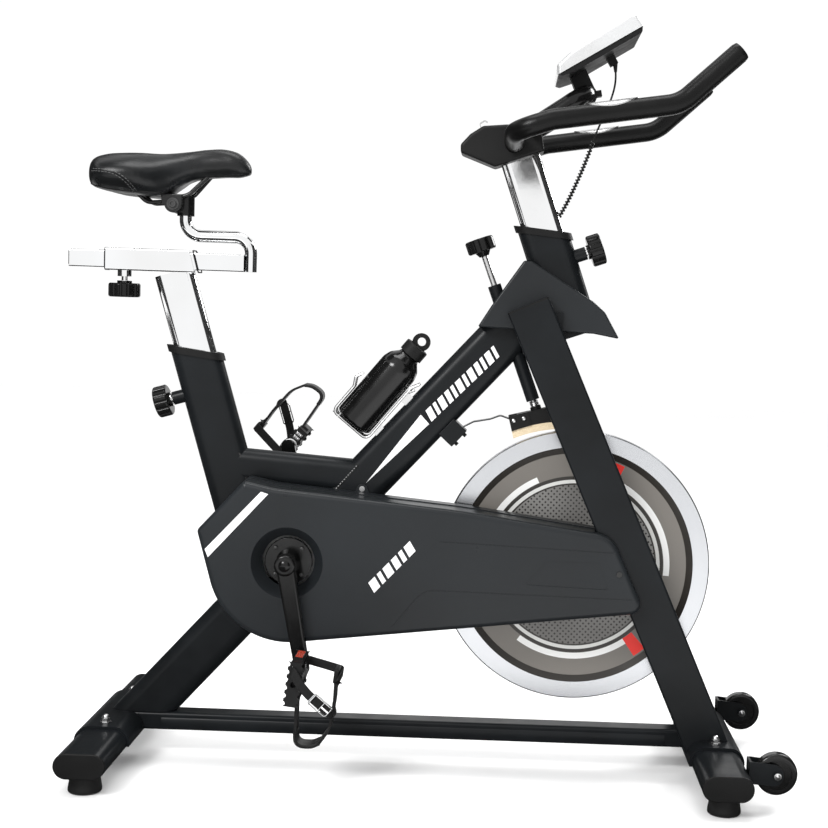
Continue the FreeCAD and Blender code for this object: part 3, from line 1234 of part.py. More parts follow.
def make_wheels():
    brackets = []
    for side in (-1, 1):
        y = side * WHEEL_Y
        cheeks = []
        for inner in (-WHEEL_WIDTH / 2 - 4.5, WHEEL_WIDTH / 2 + 2):
            outline = [(525, 43), (545, 42), (568, 40), (585, 57), (568, 74), (530, 78), (525, 78)]
            cheeks.append(plate(outline, [2, 10, 14, 17, 14, 2, 2], y + inner, y + inner + 2.5))
        back = box((524, y - WHEEL_WIDTH / 2 - 4.5, 43), (527.5, y + WHEEL_WIDTH / 2 + 4.5, 78))
        bracket = join(cheeks + [back]).cut(stabilizer_space(FRONT_X, 0, 249))
        axle = across(WHEEL_AXIS, y - WHEEL_WIDTH / 2 - 7.5, y + WHEEL_WIDTH / 2 + 7.5, 3.5)
        head = across(WHEEL_AXIS, y - WHEEL_WIDTH / 2 - 8.5, y - WHEEL_WIDTH / 2 - 4.5, 7)
        tail = across(WHEEL_AXIS, y + WHEEL_WIDTH / 2 + 4.5, y + WHEEL_WIDTH / 2 + 8.5, 7)
        brackets.append(join([bracket, axle, head, tail]))
        wheel = across(WHEEL_AXIS, y - WHEEL_WIDTH / 2, y + WHEEL_WIDTH / 2, WHEEL_RADIUS)
        wheel = rounded(wheel, 5, lambda e: e.Length > 100)
        dish = ring(WHEEL_AXIS, y - 20, y - WHEEL_WIDTH / 2 + 4, 24, 9)
        wheel = less(wheel, dish, ring(WHEEL_AXIS, y + WHEEL_WIDTH / 2 - 4, y + 20, 24, 9),
                     across(WHEEL_AXIS, y - 20, y + 20, 3.56))
        node("right_wheel" if side < 0 else "left_wheel", wheel)
    node("wheel_brackets", *brackets)


def build():
    make_stabilizers()
    make_gussets()
    make_fasteners()
    make_main_tube()
    make_seat_tube()
    make_head_tube()
    make_cross_tube()
    make_floor_tube()
    make_fork_legs()
    make_tube_trim()
    make_feet()
    make_cover_outer()
    make_cover_inner()
    make_shroud()
    make_flywheel()
    make_flywheel_hub()
    make_crank_spindle()
    make_drive_pulley()
    make_belt()
    make_cranks()
    make_pedals()
    make_brake()
    make_tension_knob()
    make_pins()
    make_seat_post()
    make_seat_slide()
    make_saddle_rails()
    make_saddle()
    make_stem(make_handlebar())
    make_bar_fittings()
    make_console()
    make_plug()
    make_lead()
    make_bottle()
    make_cage()
    make_brake_anchor()
    make_wheels()


def write():
    os.makedirs("parts", exist_ok=True)
    for name, solids in NODES.items():
        shape = solids[0] if len(solids) == 1 else Part.makeCompound(solids)
        if not shape.isValid() or not solids:
            print("not valid:", name)
        shape.exportStep(os.path.join("parts", name + ".step"))
    print(len(NODES), "nodes")


build()
write()
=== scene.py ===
"""Looks for the exercise bike: finishes, saddle, straps, decals, cord, camera and light.

Metres, in the shared frame: X forward, Y to the rider's left, Z up, origin on the floor.
Outlines and routes are written in millimetres and turned into metres by mm() or local().
"""
import math

import bmesh
import bpy
from mathutils import Matrix, Vector
from mathutils.bvhtree import BVHTree


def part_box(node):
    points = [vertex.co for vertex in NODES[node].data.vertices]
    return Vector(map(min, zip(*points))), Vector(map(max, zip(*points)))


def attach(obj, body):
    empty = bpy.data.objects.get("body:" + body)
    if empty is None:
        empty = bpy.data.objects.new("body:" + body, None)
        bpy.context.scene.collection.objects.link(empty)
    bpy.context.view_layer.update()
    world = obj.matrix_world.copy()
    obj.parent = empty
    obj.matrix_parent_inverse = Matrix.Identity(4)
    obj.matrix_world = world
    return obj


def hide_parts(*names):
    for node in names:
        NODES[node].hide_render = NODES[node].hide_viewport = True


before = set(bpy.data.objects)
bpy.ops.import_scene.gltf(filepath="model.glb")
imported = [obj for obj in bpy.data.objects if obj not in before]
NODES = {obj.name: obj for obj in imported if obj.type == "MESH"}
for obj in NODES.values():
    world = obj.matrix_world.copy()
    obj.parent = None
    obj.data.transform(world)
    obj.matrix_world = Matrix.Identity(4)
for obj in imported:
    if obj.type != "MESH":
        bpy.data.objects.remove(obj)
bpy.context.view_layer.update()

SCENE = bpy.context.scene

MM = 0.001
LEFT = Vector((0, 1, 0))
UP = Vector((0, 0, 1))
SIDES = ((-1, "right"), (1, "left"))

CRANK_AXIS = Vector((-0.218, 0, 0.347))
CRANK_ANGLE = -79.5
CRANK_LENGTH = 0.170
FLYWHEEL_AXIS = Vector((0.2485, 0, 0.345))
PEDAL_Y = 0.176
PEDAL_PITCH = {"right": -96.8, "left": 51.0}
SLIDE_Z = 826.0


def mm(x, y, z):
    """A point given in millimetres."""
    return Vector((x, y, z)) * MM


def local(place, points):
    """Points given in millimetres in a part's own space, as places on the bike."""
    return [place @ (Vector(point) * MM) for point in points]


def polar(angle, length=1.0):
    """A vector in the side plane, angle in degrees up from the forward direction."""
    turn = math.radians(angle)
    return Vector((math.cos(turn) * length, 0, math.sin(turn) * length))


def basis(origin, x_dir, z_dir):
    """The matrix that takes local X, Y and Z to a place on the bike."""
    z = Vector(z_dir).normalized()
    y = z.cross(Vector(x_dir)).normalized()
    turn = Matrix((y.cross(z), y, z)).transposed().to_4x4()
    return Matrix.Translation(origin) @ turn


def rectangle(across, along):
    """The four corners of a rectangle, in order round it."""
    return [(across[0], along[0]), (across[1], along[0]), (across[1], along[1]), (across[0], along[1])]


def add_object(name, data):
    """Links a new object into the scene."""
    made = bpy.data.objects.new(name, data)
    SCENE.collection.objects.link(made)
    return made


def configure(thing, **settings):
    """Sets several attributes at once."""
    for name, value in settings.items():
        setattr(thing, name, value)


# ---- materials

class Shader:
    """A procedural material whose nodes are added one at a time."""

    def __init__(self, name, roughness=0.5, metallic=0.0, specular=0.5, **sockets):
        self.material = bpy.data.materials.new(name)
        self.material.use_nodes = True
        self.tree = self.material.node_tree
        self.surface = self.tree.nodes["Principled BSDF"]
        sockets.update(Roughness=roughness, Metallic=metallic, Specular_IOR_Level=specular)
        for socket, value in sockets.items():
            self.surface.inputs[socket.replace("_", " ")].default_value = value
        self.place = self.add("ShaderNodeTexCoord").outputs["Object"]

    def feed(self, socket, value):
        """Links another node's output to a socket, or sets the socket to a plain value."""
        if isinstance(value, bpy.types.NodeSocket):
            self.tree.links.new(value, socket)
        else:
            socket.default_value = value

    def add(self, kind, inputs=None, **settings):
        made = self.tree.nodes.new(kind)
        configure(made, **settings)
        for name, value in (inputs or {}).items():
            self.feed(made.inputs[name], value)
        return made

    def drive(self, socket, source):
        """Links a node's output to one of the surface's own sockets."""
        self.feed(self.surface.inputs[socket], source)

    def math(self, operation, *values):
        return self.add("ShaderNodeMath", dict(enumerate(values)), operation=operation).outputs[0]

    def between(self, value, low, high):
        """1 where a value lies between two limits, otherwise 0."""
        return self.math("MULTIPLY", self.math("GREATER_THAN", value, low),
                         self.math("LESS_THAN", value, high))

    def axes(self):
        """The place on the object, split into its X, Y and Z."""
        return self.add("ShaderNodeSeparateXYZ", {0: self.place}).outputs

    def noise(self, scale, detail=4.0, stretch=None):
        place = self.place
        if stretch:
            place = self.add("ShaderNodeMapping", {"Vector": place, "Scale": stretch}).outputs[0]
        inputs = {"Scale": scale, "Detail": detail, "Vector": place}
        return self.add("ShaderNodeTexNoise", inputs).outputs["Fac"]

    def cells(self, scale, feature="F1"):
        inputs = {"Scale": scale, "Vector": self.place}
        return self.add("ShaderNodeTexVoronoi", inputs, feature=feature).outputs["Distance"]

    def ramp(self, value, stops, constant=False):
        made = self.add("ShaderNodeValToRGB", {"Fac": value})
        if constant:
            made.color_ramp.interpolation = "CONSTANT"
        elements = made.color_ramp.elements
        while len(elements) < len(stops):
            elements.new(0.5)
        for element, (position, colour) in zip(elements, stops):
            element.position = position
            element.color = (*colour, 1.0)
        return made.outputs["Color"]

    def drift(self, value, dark, light):
        """A slow change from a dark to a light colour."""
        return self.ramp(value, [(0.3, dark), (0.7, light)])

    def span(self, value, low, high):
        """A noise value spread over a range."""
        inputs = {"From Min": 0.3, "From Max": 0.7, "To Min": low, "To Max": high, "Value": value}
        return self.add("ShaderNodeMapRange", inputs).outputs["Result"]

    def mix(self, factor, first, second):
        """Blends two colours. Inputs 6 and 7 and output 2 are the Mix node's colour sockets."""
        colours = [(*value, 1.0) if isinstance(value, tuple) else value for value in (first, second)]
        inputs = {"Factor": factor, 6: colours[0], 7: colours[1]}
        return self.add("ShaderNodeMix", inputs, data_type="RGBA").outputs[2]

    def bump(self, height, distance, strength):
        """Adds relief on top of any that the surface already has."""
        inputs = {"Height": height, "Distance": distance, "Strength": strength}
        made = self.add("ShaderNodeBump", inputs)
        earlier = self.surface.inputs["Normal"].links
        if earlier:
            self.feed(made.inputs["Normal"], earlier[0].from_socket)
        self.drive("Normal", made.outputs["Normal"])


def grey(level, warm=0.0):
    """A neutral colour, warmed or cooled a little."""
    return (level * (1 + warm), level, level * (1 - warm))


def plain(name, dark, light, rough, grain, depth, patch=9.0, **sockets):
    """A surface with a slow drift between two colours or greys, uneven gloss and a fine grain."""
    shader = Shader(name, **sockets)
    dark, light = (grey(tone) if isinstance(tone, float) else tone for tone in (dark, light))
    shader.drive("Base Color", shader.drift(shader.noise(patch, 3.0), dark, light))
    shader.drive("Roughness", shader.span(shader.noise(patch * 4), *rough))
    shader.bump(shader.noise(grain, 2.0), depth, 0.6)
    return shader


# Each plain finish: dark and light tone, roughness range, grain scale and depth, other settings.
# The blacks have a low specular, which keeps them dark in the white studio.
PLAIN_FINISHES = {
    "frame_paint": (grey(0.006, -0.12), grey(0.0095, -0.16), (0.28, 0.38), 1400, 0.00005,
                    {"specular": 0.17}),
    "cover_plastic": (grey(0.0125, -0.10), grey(0.0175, -0.14), (0.27, 0.35), 1500, 0.00008,
                      {"patch": 5.0, "specular": 0.24}),
    "black_plastic": (0.006, 0.009, (0.42, 0.55), 1800, 0.00012, {"specular": 0.16}),
    "gloss_black": (0.003, 0.005, (0.12, 0.2), 600, 0.00003, {"specular": 0.3}),
    "nylon": (0.007, 0.012, (0.36, 0.52), 1300, 0.00015, {"specular": 0.2}),
    "rubber": (0.009, 0.015, (0.40, 0.55), 1100, 0.0002, {"specular": 0.2}),
    "wheel_black": (0.004, 0.008, (0.16, 0.26), 1100, 0.00006, {"specular": 0.4}),
    "cable": (0.006, 0.011, (0.35, 0.45), 900, 0.00005, {"specular": 0.2}),
    "belt_rubber": (0.02, 0.03, (0.6, 0.75), 700, 0.0001, {}),
    "bottle_black": (0.002, 0.004, (0.14, 0.2), 250, 0.00001, {"specular": 0.38}),
    "gunmetal": (0.04, 0.07, (0.3, 0.4), 500, 0.00005, {"metallic": 0.6, "specular": 0.3}),
    "zinc": (0.55, 0.68, (0.22, 0.34), 500, 0.00004, {"metallic": 1.0}),
    "wire": (0.70, 0.82, (0.18, 0.28), 300, 0.00003, {"metallic": 1.0}),
    "pulley_alloy": (0.38, 0.5, (0.35, 0.5), 400, 0.0001, {"metallic": 1.0}),
    "chrome": (0.86, grey(0.93, -0.01), (0.045, 0.085), 150, 0.00001, {"metallic": 1.0}),
    "silver_plastic": (0.62, grey(0.7, -0.01), (0.18, 0.26), 1500, 0.00002,
                       {"metallic": 0.55, "Coat_Weight": 0.7, "Coat_Roughness": 0.06}),
    "white_vinyl": (0.78, 0.86, (0.32, 0.42), 500, 0.00002, {}),
    "red_reflector": ((0.20, 0.012, 0.004), (0.36, 0.03, 0.008), (0.08, 0.16), 300, 0.0001,
                      {"Coat_Weight": 0.5}),
}


def soft_goods():
    """Foam, vinyl, felt, webbing and thread."""
    foam = plain("grip_foam", 0.0025, 0.005, (0.26, 0.38), 1000, 0.00016, specular=0.17)
    foam.bump(foam.cells(1700), 0.00008, 0.5)

    vinyl = plain("saddle_vinyl", grey(0.005, -0.05), grey(0.009, -0.1), (0.26, 0.36), 700, 0.00012,
                  specular=0.3)
    vinyl.bump(vinyl.cells(620, "DISTANCE_TO_EDGE"), 0.0003, 0.35)

    felt = Shader("brake_felt", roughness=0.95, Sheen_Weight=0.6)
    fibres = felt.noise(900, 6.0, stretch=(1, 2.5, 1))
    felt.drive("Base Color", felt.drift(fibres, (0.56, 0.43, 0.27), (0.80, 0.69, 0.50)))
    felt.bump(fibres, 0.0006, 0.8)

    webbing = Shader("strap_webbing", roughness=0.6, specular=0.2)
    weave = webbing.add("ShaderNodeTexWave", {"Scale": 330, "Vector": webbing.place}, wave_type="BANDS",
                        bands_direction="DIAGONAL").outputs["Fac"]
    webbing.drive("Base Color", webbing.ramp(weave, [(0.2, grey(0.005)), (0.8, grey(0.018))]))
    webbing.bump(weave, 0.0003, 0.7)

    thread = plain("grey_thread", 0.09, 0.15, (0.5, 0.65), 900, 0.0001)
    thread.bump(thread.noise(2500), 0.0001, 0.5)
    return {"foam": foam, "saddle_vinyl": vinyl, "felt": felt, "webbing": webbing, "thread": thread}


def make_materials():
    """Every finish of the bike, by name."""
    screen = Shader("display_lens", roughness=0.06, Coat_Weight=1.0)
    screen.drive("Base Color", screen.drift(screen.noise(14), (0.10, 0.12, 0.10), (0.13, 0.15, 0.125)))
    shaders = {name: plain(name, *values, **settings)
               for name, (*values, settings) in PLAIN_FINISHES.items()}
    shaders.update(soft_goods(), screen=screen, fasteners=fastener_finish(),
                   flywheel_iron=flywheel_paint())
    return {name: shader.material for name, shader in shaders.items()}


def fastener_finish():
    """Bright screws, but a black one on the flank of the cover."""
    shader = Shader("fastener_finish", roughness=0.26)
    place = shader.axes()
    flank = shader.math("MULTIPLY", shader.math("GREATER_THAN", place["Z"], 0.3),
                        shader.math("LESS_THAN", place["Y"], -0.09))
    black = shader.math("MULTIPLY", shader.math("GREATER_THAN", place["X"], 0.3), flank)
    bright = shader.drift(shader.noise(20.0), grey(0.55), grey(0.68))
    shader.drive("Base Color", shader.mix(black, bright, grey(0.006)))
    shader.drive("Metallic", shader.math("SUBTRACT", 1.0, black))
    shader.bump(shader.noise(500.0, 2.0), 0.00004, 0.5)
    return shader


RING_SCALE = 0.25
DISC_WARM = (0.165, 0.153, 0.138)
# Dark print on the disc, also used as painted shade on the step just inside the rim
DARK_PRINT_AND_STEP_SHADE = (0.030, 0.027, 0.024)
LIGHT_RING = (0.66, 0.66, 0.64)
RIM_STEEL = (0.56, 0.57, 0.59)
ARC_WHITE = (0.80, 0.80, 0.79)
BLOCK_RED = (0.80, 0.022, 0.014)
DOT_BLACK = (0.018, 0.017, 0.016)
FIRST_ARC = 115.0
ARC_SHARE, BLOCK_SHARE = 0.583, 0.642
ARC_RADII, BLOCK_RADII = (0.149, 0.159), (0.149, 0.184)
CENTRE_RADIUS = 0.134
DOT_RADII = (0.03, CENTRE_RADIUS)
DOT_PITCH = 0.0094
RIM_RADIUS = 0.1965


def flywheel_paint():
    """Polished rim, painted shade on the step before it, warm grey disc with white arcs, red blocks and
    a dotted centre.
    """
    shader = Shader("flywheel_graphics", roughness=0.35, specular=0.3)
    place = shader.axes()
    x = shader.math("SUBTRACT", place["X"], FLYWHEEL_AXIS.x)
    z = shader.math("SUBTRACT", place["Z"], FLYWHEEL_AXIS.z)
    squares = shader.math("ADD", shader.math("MULTIPLY", x, x), shader.math("MULTIPLY", z, z))
    radius = shader.math("SQRT", squares)
    # Bands by radius: the dark band from 0.186 to 0.1965 m, on the step up to the rim, is painted
    # shade; the other dark bands are print
    rings = shader.ramp(shader.math("DIVIDE", radius, RING_SCALE),
                        [(0.0, DARK_PRINT_AND_STEP_SHADE), (0.544, LIGHT_RING), (0.567, DARK_PRINT_AND_STEP_SHADE),
                         (0.592, DISC_WARM), (0.744, DARK_PRINT_AND_STEP_SHADE), (0.786, RIM_STEEL)], constant=True)

    # Three white arcs, each with a red block at its end
    angle = shader.math("DIVIDE", shader.math("ARCTAN2", z, x), 2 * math.pi)
    thirds = shader.math("MULTIPLY", shader.math("ADD", angle, 1.0 - FIRST_ARC / 360.0), 3.0)
    turned = shader.math("FRACT", thirds)
    arcs = shader.math("MULTIPLY", shader.between(turned, 0.0, ARC_SHARE),
                       shader.between(radius, *ARC_RADII))
    blocks = shader.math("MULTIPLY", shader.between(turned, ARC_SHARE, BLOCK_SHARE),
                         shader.between(radius, *BLOCK_RADII))
    painted = shader.mix(blocks, shader.mix(arcs, rings, ARC_WHITE), BLOCK_RED)

    # A grid of dark dots inside the light ring
    cells = [shader.math("GREATER_THAN", shader.math("PINGPONG", shader.math(way, x, z), DOT_PITCH / 2),
                         DOT_PITCH * 0.28) for way in ("ADD", "SUBTRACT")]
    dots = shader.math("MULTIPLY", shader.math("MULTIPLY", *cells), shader.between(radius, *DOT_RADII))
    mesh_grey = shader.ramp(shader.noise(7.0, 1.0),
                            [(0.35, (0.15, 0.145, 0.138)), (0.65, (0.24, 0.235, 0.225))])
    inside = shader.mix(shader.math("LESS_THAN", radius, CENTRE_RADIUS), painted, mesh_grey)
    shader.drive("Base Color", shader.mix(dots, inside, DOT_BLACK))
    shader.drive("Metallic", shader.math("GREATER_THAN", radius, RIM_RADIUS))

    # Fine turning marks
    moved = shader.add("ShaderNodeCombineXYZ", {"X": x, "Y": z})
    inputs = {"Scale": 900, "Distortion": 0.4, "Vector": moved.outputs[0]}
    ridges = shader.add("ShaderNodeTexWave", inputs, wave_type="RINGS",
                        rings_direction="SPHERICAL").outputs["Fac"]
    shader.drive("Roughness", shader.math("ADD", shader.math("MULTIPLY", ridges, 0.06),
                                          shader.math("MULTIPLY", shader.noise(1.0, 2.0), 0.4)))
    shader.bump(ridges, 0.00002, 0.5)
    return shader


def two_part(name, point, direction, start, end):
    """Black plastic, but steel between two distances from a point along a direction."""
    shader = Shader(name, specular=0.25)
    shift = shader.add("ShaderNodeVectorMath", {0: shader.place, 1: point}, operation="SUBTRACT")
    along = shader.add("ShaderNodeVectorMath", {0: shift.outputs[0], 1: direction},
                       operation="DOT_PRODUCT")
    metal = shader.between(along.outputs["Value"], start, end)
    patches = shader.noise(30.0)
    black = shader.drift(patches, grey(0.004), grey(0.007))
    steel = shader.drift(patches, grey(0.8), grey(0.9))
    shader.drive("Base Color", shader.mix(metal, black, steel))
    shader.drive("Metallic", metal)
    shader.drive("Roughness", shader.span(shader.noise(60.0), 0.10, 0.2))
    shader.bump(shader.noise(500.0, 2.0), 0.00003, 0.5)
    return shader.material


MATERIALS = make_materials()


# ---- finishes of the CAD nodes

BRAKE_DIR = polar(110.7)
BRAKE_KNOB_CENTRE = mm(75, 0, 869)

FINISHES = {
    "frame_paint": ["rear_stabilizer", "front_stabilizer", "frame_gussets", "main_tube", "seat_tube",
                    "head_tube", "cross_tube", "floor_tube", "fork_legs", "wheel_brackets",
                    "brake_anchor"],
    "black_plastic": ["tube_trim", "stem_cover", "console_base", "console_plug", "saddle_base",
                      "console_button", "bottle_cap", "brake_shoe"],
    "cover_plastic": ["cover_outer", "cover_inner", "head_shroud"],
    "rubber": ["front_right_foot", "front_left_foot", "rear_right_foot", "rear_left_foot"],
    "wheel_black": ["right_wheel", "left_wheel", "saddle_rails"],
    "zinc": ["bar_fittings", "brake_rod"],
    "fasteners": ["frame_fasteners"],
    "gloss_black": ["right_crank", "left_crank", "console_loop", "crank_spindle", "saddle_clamp"],
    "chrome": ["seat_post", "seat_slide", "handlebar_frame"],
    "flywheel_iron": ["flywheel"],
    "pulley_alloy": ["flywheel_hub", "drive_pulley"],
    "belt_rubber": ["drive_belt"],
    "nylon": ["right_pedal", "left_pedal"],
    "webbing": ["right_toe_strap", "left_toe_strap"],
    "felt": ["brake_pad"],
    "foam": ["bar_foam"],
    "silver_plastic": ["console_shell"],
    "screen": ["console_screen"],
    "cable": ["console_lead"],
    "bottle_black": ["bottle"],
    "wire": ["bottle_cage"],
    "saddle_vinyl": ["saddle_cushion"],
}
# Each knob's node, a point on its axis, the way out, and where its steel part starts and ends
KNOBS = (
    ("seat_height_pin", mm(-371, 0, 615.3), polar(196.5), -0.2, 0.0595),
    ("bar_height_pin", mm(195, 0, 843.3), polar(19.6), -0.2, 0.059),
    ("seat_slide_pin", mm(-510, 0, 826), -UP, -0.2, 0.0355),
    ("tension_knob", BRAKE_KNOB_CENTRE, BRAKE_DIR, -0.05, -0.0195),
)


def paint(node, material):
    """Gives a CAD node its material."""
    target = NODES[node]
    if not target.material_slots:
        target.data.materials.append(material)
    for slot in target.material_slots:
        slot.material = material


def paint_nodes():
    """Each CAD node gets its finish, and the knobs their two-part ones."""
    for finish, nodes in FINISHES.items():
        for node in nodes:
            paint(node, MATERIALS[finish])
    for node, point, outward, start, end in KNOBS:
        paint(node, two_part(node + "_finish", point, outward, start, end))


# ---- building pieces

def piece(name, bm, body, finish, smooth=True, angle=40.0):
    """Turns a bmesh into a piece that rides on a body. The slot is the finish's own."""
    bmesh.ops.recalc_face_normals(bm, faces=bm.faces)
    mesh = bpy.data.meshes.new(name)
    bm.to_mesh(mesh)
    bm.free()
    mesh.materials.append(MATERIALS[finish])
    made = add_object(name, mesh)
    if smooth:
        mesh.shade_smooth()
        mesh.set_sharp_from_angle(angle=math.radians(angle))
    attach(made, body)
    return made


def smooth_points(points, steps=8, closed=False):
    """A Catmull-Rom line through the points."""
    points = [Vector(point) for point in points]
    count = len(points)
    out = []
    for index in range(count if closed else count - 1):
        near = [index + shift for shift in (-1, 0, 1, 2)]
        a, b, c, d = (points[k % count if closed else max(0, min(count - 1, k))] for k in near)
        for step in range(steps):
            t = step / steps
            out.append(0.5 * (2 * b + (c - a) * t + (2 * a - 5 * b + 4 * c - d) * t * t
                              + (3 * b - a - 3 * c + d) * t ** 3))
    return out if closed else out + [points[-1].copy()]


def bridge(bm, rings, closed=False):
    """Skins a row of equal rings, and caps both ends unless the row is closed."""
    size = len(rings[0])
    for first, second in zip(rings, rings[1:] + rings[:1] if closed else rings[1:]):
        for k in range(size):
            after = (k + 1) % size
            bm.faces.new((first[k], first[after], second[after], second[k]))
    if not closed:
        bm.faces.new(rings[0][::-1])
        bm.faces.new(rings[-1])


def sweep(bm, line, section, up, closed=False):
    """Carries a closed section of (side, up) offsets along a line of points."""
    rings = []
    count = len(line)
    for index, point in enumerate(line):
        before = line[index - 1] if index or closed else line[0]
        after = line[(index + 1) % count] if index < count - 1 or closed else line[-1]
        ahead = (after - before).normalized()
        side = ahead.cross(up(ahead) if callable(up) else Vector(up)).normalized()
        over = side.cross(ahead).normalized()
        rings.append([bm.verts.new(point + side * a + over * b) for a, b in section])
    bridge(bm, rings, closed)


def circle_section(radius, sides=10):
    turns = [2 * math.pi * k / sides for k in range(sides)]
    return [(radius * math.cos(turn), radius * math.sin(turn)) for turn in turns]


def flat_section(width, thick):
    """A flat strap section with softened edges."""
    w, t, r = width / 2, thick / 2, thick * 0.3
    return [(-w, -t + r), (-w + r, -t), (w - r, -t), (w, -t + r),
            (w, t - r), (w - r, t), (-w + r, t), (-w, t - r)]


def tube_piece(name, line, radius, body, finish, sides=10):
    bm = bmesh.new()
    sweep(bm, line, circle_section(radius, sides), (0.03, 1, 0.02))
    return piece(name, bm, body, finish)


def bevelled_block(bm, matrix, size, bevel):
    """A block with rounded edges, size along its own X, Y and Z."""
    made = bmesh.ops.create_cube(bm, size=1.0)["verts"]
    for vert in made:
        vert.co = vert.co * Vector(size)
    edges = {edge for vert in made for edge in vert.link_edges}
    rounded = bmesh.ops.bevel(bm, geom=list(edges), offset=bevel, segments=3, profile=0.6,
                              affect="EDGES")
    verts = {vert for face in rounded["faces"] for vert in face.verts}
    for vert in verts | {vert for vert in made if vert.is_valid}:
        vert.co = matrix @ vert.co


def lathe(bm, profile, matrix, sides=32):
    """A turned shape: (radius, height) points in millimetres about local Z."""
    rings = []
    for radius, height in profile:
        spots = circle_section(radius, sides) if radius else [(0, 0)]
        rings.append([bm.verts.new(spot) for spot in local(matrix, [(x, y, height) for x, y in spots])])
    for first, second in zip(rings, rings[1:]):
        for k in range(sides):
            corners = [first[k % len(first)], first[(k + 1) % len(first)],
                       second[(k + 1) % len(second)], second[k % len(second)]]
            corners = list(dict.fromkeys(corners))
            if len(corners) > 2:
                bm.faces.new(corners)


def slab(bm, place, outline, low, high):
    """A thin flat piece: an outline in local X and Y between two heights, in millimetres."""
    rings = [local(place, [(x, y, height) for x, y in outline]) for height in (low, high)]
    bridge(bm, [[bm.verts.new(point) for point in ring] for ring in rings])


def surface_of(obj):
    """A search tree over an object's finished surface."""
    graph = bpy.context.evaluated_depsgraph_get()
    bpy.context.view_layer.update()
    return BVHTree.FromObject(obj, graph)


def applied_mesh(obj):
    """An object's mesh with its modifiers applied."""
    bpy.context.view_layer.update()
    return bpy.data.meshes.new_from_object(obj.evaluated_get(bpy.context.evaluated_depsgraph_get()))


# ---- camera and light

CAMERA_PLACE = (0.118, -2.5302, 0.7866)
CAMERA_PITCH, CAMERA_ROLL = 0.0767, 0.035
WHITE_WORLD = 1.03
FLOOR_REACH = 9.0


def make_camera():
    """A long lens from the rider's right, level with the bars and rolled a little."""
    ahead = Vector((0, math.cos(CAMERA_PITCH), -math.sin(CAMERA_PITCH)))
    up = Vector((0, math.sin(CAMERA_PITCH), math.cos(CAMERA_PITCH)))
    across = Vector((1, 0, 0))
    camera_x = across * math.cos(CAMERA_ROLL) + up * math.sin(CAMERA_ROLL)
    camera_y = up * math.cos(CAMERA_ROLL) - across * math.sin(CAMERA_ROLL)
    data = bpy.data.cameras.new("camera")
    configure(data, lens=66.5, sensor_width=36.0, shift_x=-0.1051, clip_start=0.05)
    camera = add_object("camera", data)
    turn = Matrix((camera_x, camera_y, -ahead)).transposed().to_4x4()
    camera.matrix_world = Matrix.Translation(CAMERA_PLACE) @ turn
    SCENE.camera = camera


def area_light(name, place, target, size, power):
    data = bpy.data.lights.new(name, "AREA")
    configure(data, shape="RECTANGLE", size=size[0], size_y=size[1], energy=power)
    lamp = add_object(name, data)
    lamp.location = place
    lamp.rotation_euler = (Vector(target) - Vector(place)).to_track_quat("-Z", "Y").to_euler()


def sheet_object(name, corners, faces, material):
    """A flat or curved sheet that is not part of the bike."""
    mesh = bpy.data.meshes.new(name)
    mesh.from_pydata(corners, [], faces)
    mesh.materials.append(material)
    made = add_object(name, mesh)
    return made


def card(name, corners, faces=((0, 1, 2, 3),)):
    """A black card that only shows in reflections, to give the chrome its dark edges."""
    cloth = plain(name + "_cloth", 0.01, 0.015, (0.8, 0.9), 50, 0.0001)
    made = sheet_object(name, corners, faces, cloth.material)
    configure(made, visible_camera=False, visible_diffuse=False, visible_shadow=False)


def curved_card(name, start, end, low=0.1, high=3.2, radius=3.4, steps=12):
    """An upright card curved round the bike, its bearings in degrees from the front of the stage."""
    corners = []
    for index in range(steps + 1):
        turn = math.radians(start + (end - start) * index / steps)
        corners += [(radius * math.sin(turn), -radius * math.cos(turn), z) for z in (low, high)]
    card(name, corners, [(2 * k, 2 * k + 2, 2 * k + 3, 2 * k + 1) for k in range(steps)])


def level_card(name, across, depth, height):
    """A card lying level, above or below the bike."""
    card(name, [(x, y, height) for x, y in rectangle(across, depth)])


def make_studio():
    """A pale floor, an even white surround, soft lamps and the black cards."""
    surface = plain("pale_floor", 0.955, 0.975, (0.75, 0.85), 30, 0.0001, patch=0.8)
    reach = (-FLOOR_REACH, FLOOR_REACH)
    floor = sheet_object("floor", [(x, y, 0) for x, y in rectangle(reach, reach)], [(0, 1, 2, 3)],
                         surface.material)
    floor.location.z = -0.0005

    world = bpy.data.worlds.new("studio")
    world.use_nodes = True
    background = world.node_tree.nodes["Background"]
    background.inputs["Color"].default_value = (1, 1, 1, 1)
    background.inputs["Strength"].default_value = WHITE_WORLD
    SCENE.world = world

    area_light("key", (-1.6, -2.4, 2.6), (0, 0, 0.6), (1.3, 0.9), 85)
    area_light("rim", (2.0, 1.8, 2.2), (0.1, 0, 0.7), (1.0, 1.2), 50)
    area_light("top", (0, 0, 3.2), (0, 0, 0.5), (1.8, 1.0), 35)
    curved_card("card_right", 38, 160)
    curved_card("card_left", -168, -40)
    card("card_head", [(x, -2.4, z) for x, z in rectangle((0.14, 0.25), (1.15, 1.5))])
    level_card("card_over", (-2.4, 2.4), (-0.7, 1.3), 3.3)
    level_card("card_under", (-0.12, 3.4), (-0.45, 1.6), 0.002)
    level_card("card_under_left", (-3.4, -0.12), (-1.7, 1.6), 0.002)
    configure(SCENE.view_settings, view_transform="Standard", look="None", exposure=0.0)


# ---- lead

LEAD_POINTS = [mm(285.3, 0, 1157.6), mm(286.6, 0, 1143.5), mm(281.5, 1.5, 1118.0),
               mm(270.5, 3.0, 1089.0), mm(257.5, 3.5, 1059.0), mm(247.0, 2.5, 1025.0),
               mm(234.0, 1.0, 990.0), mm(220.5, 0, 957.0), mm(208.8, 0, 932.5), mm(200.5, 0, 917.5)]
LEAD_DIAMETER = 0.0032
WRAP_RADIUS, WRAP_WIRE = 0.0031, 0.0011
WRAP_PITCH = 0.0056
WRAP_TOP = 1.046


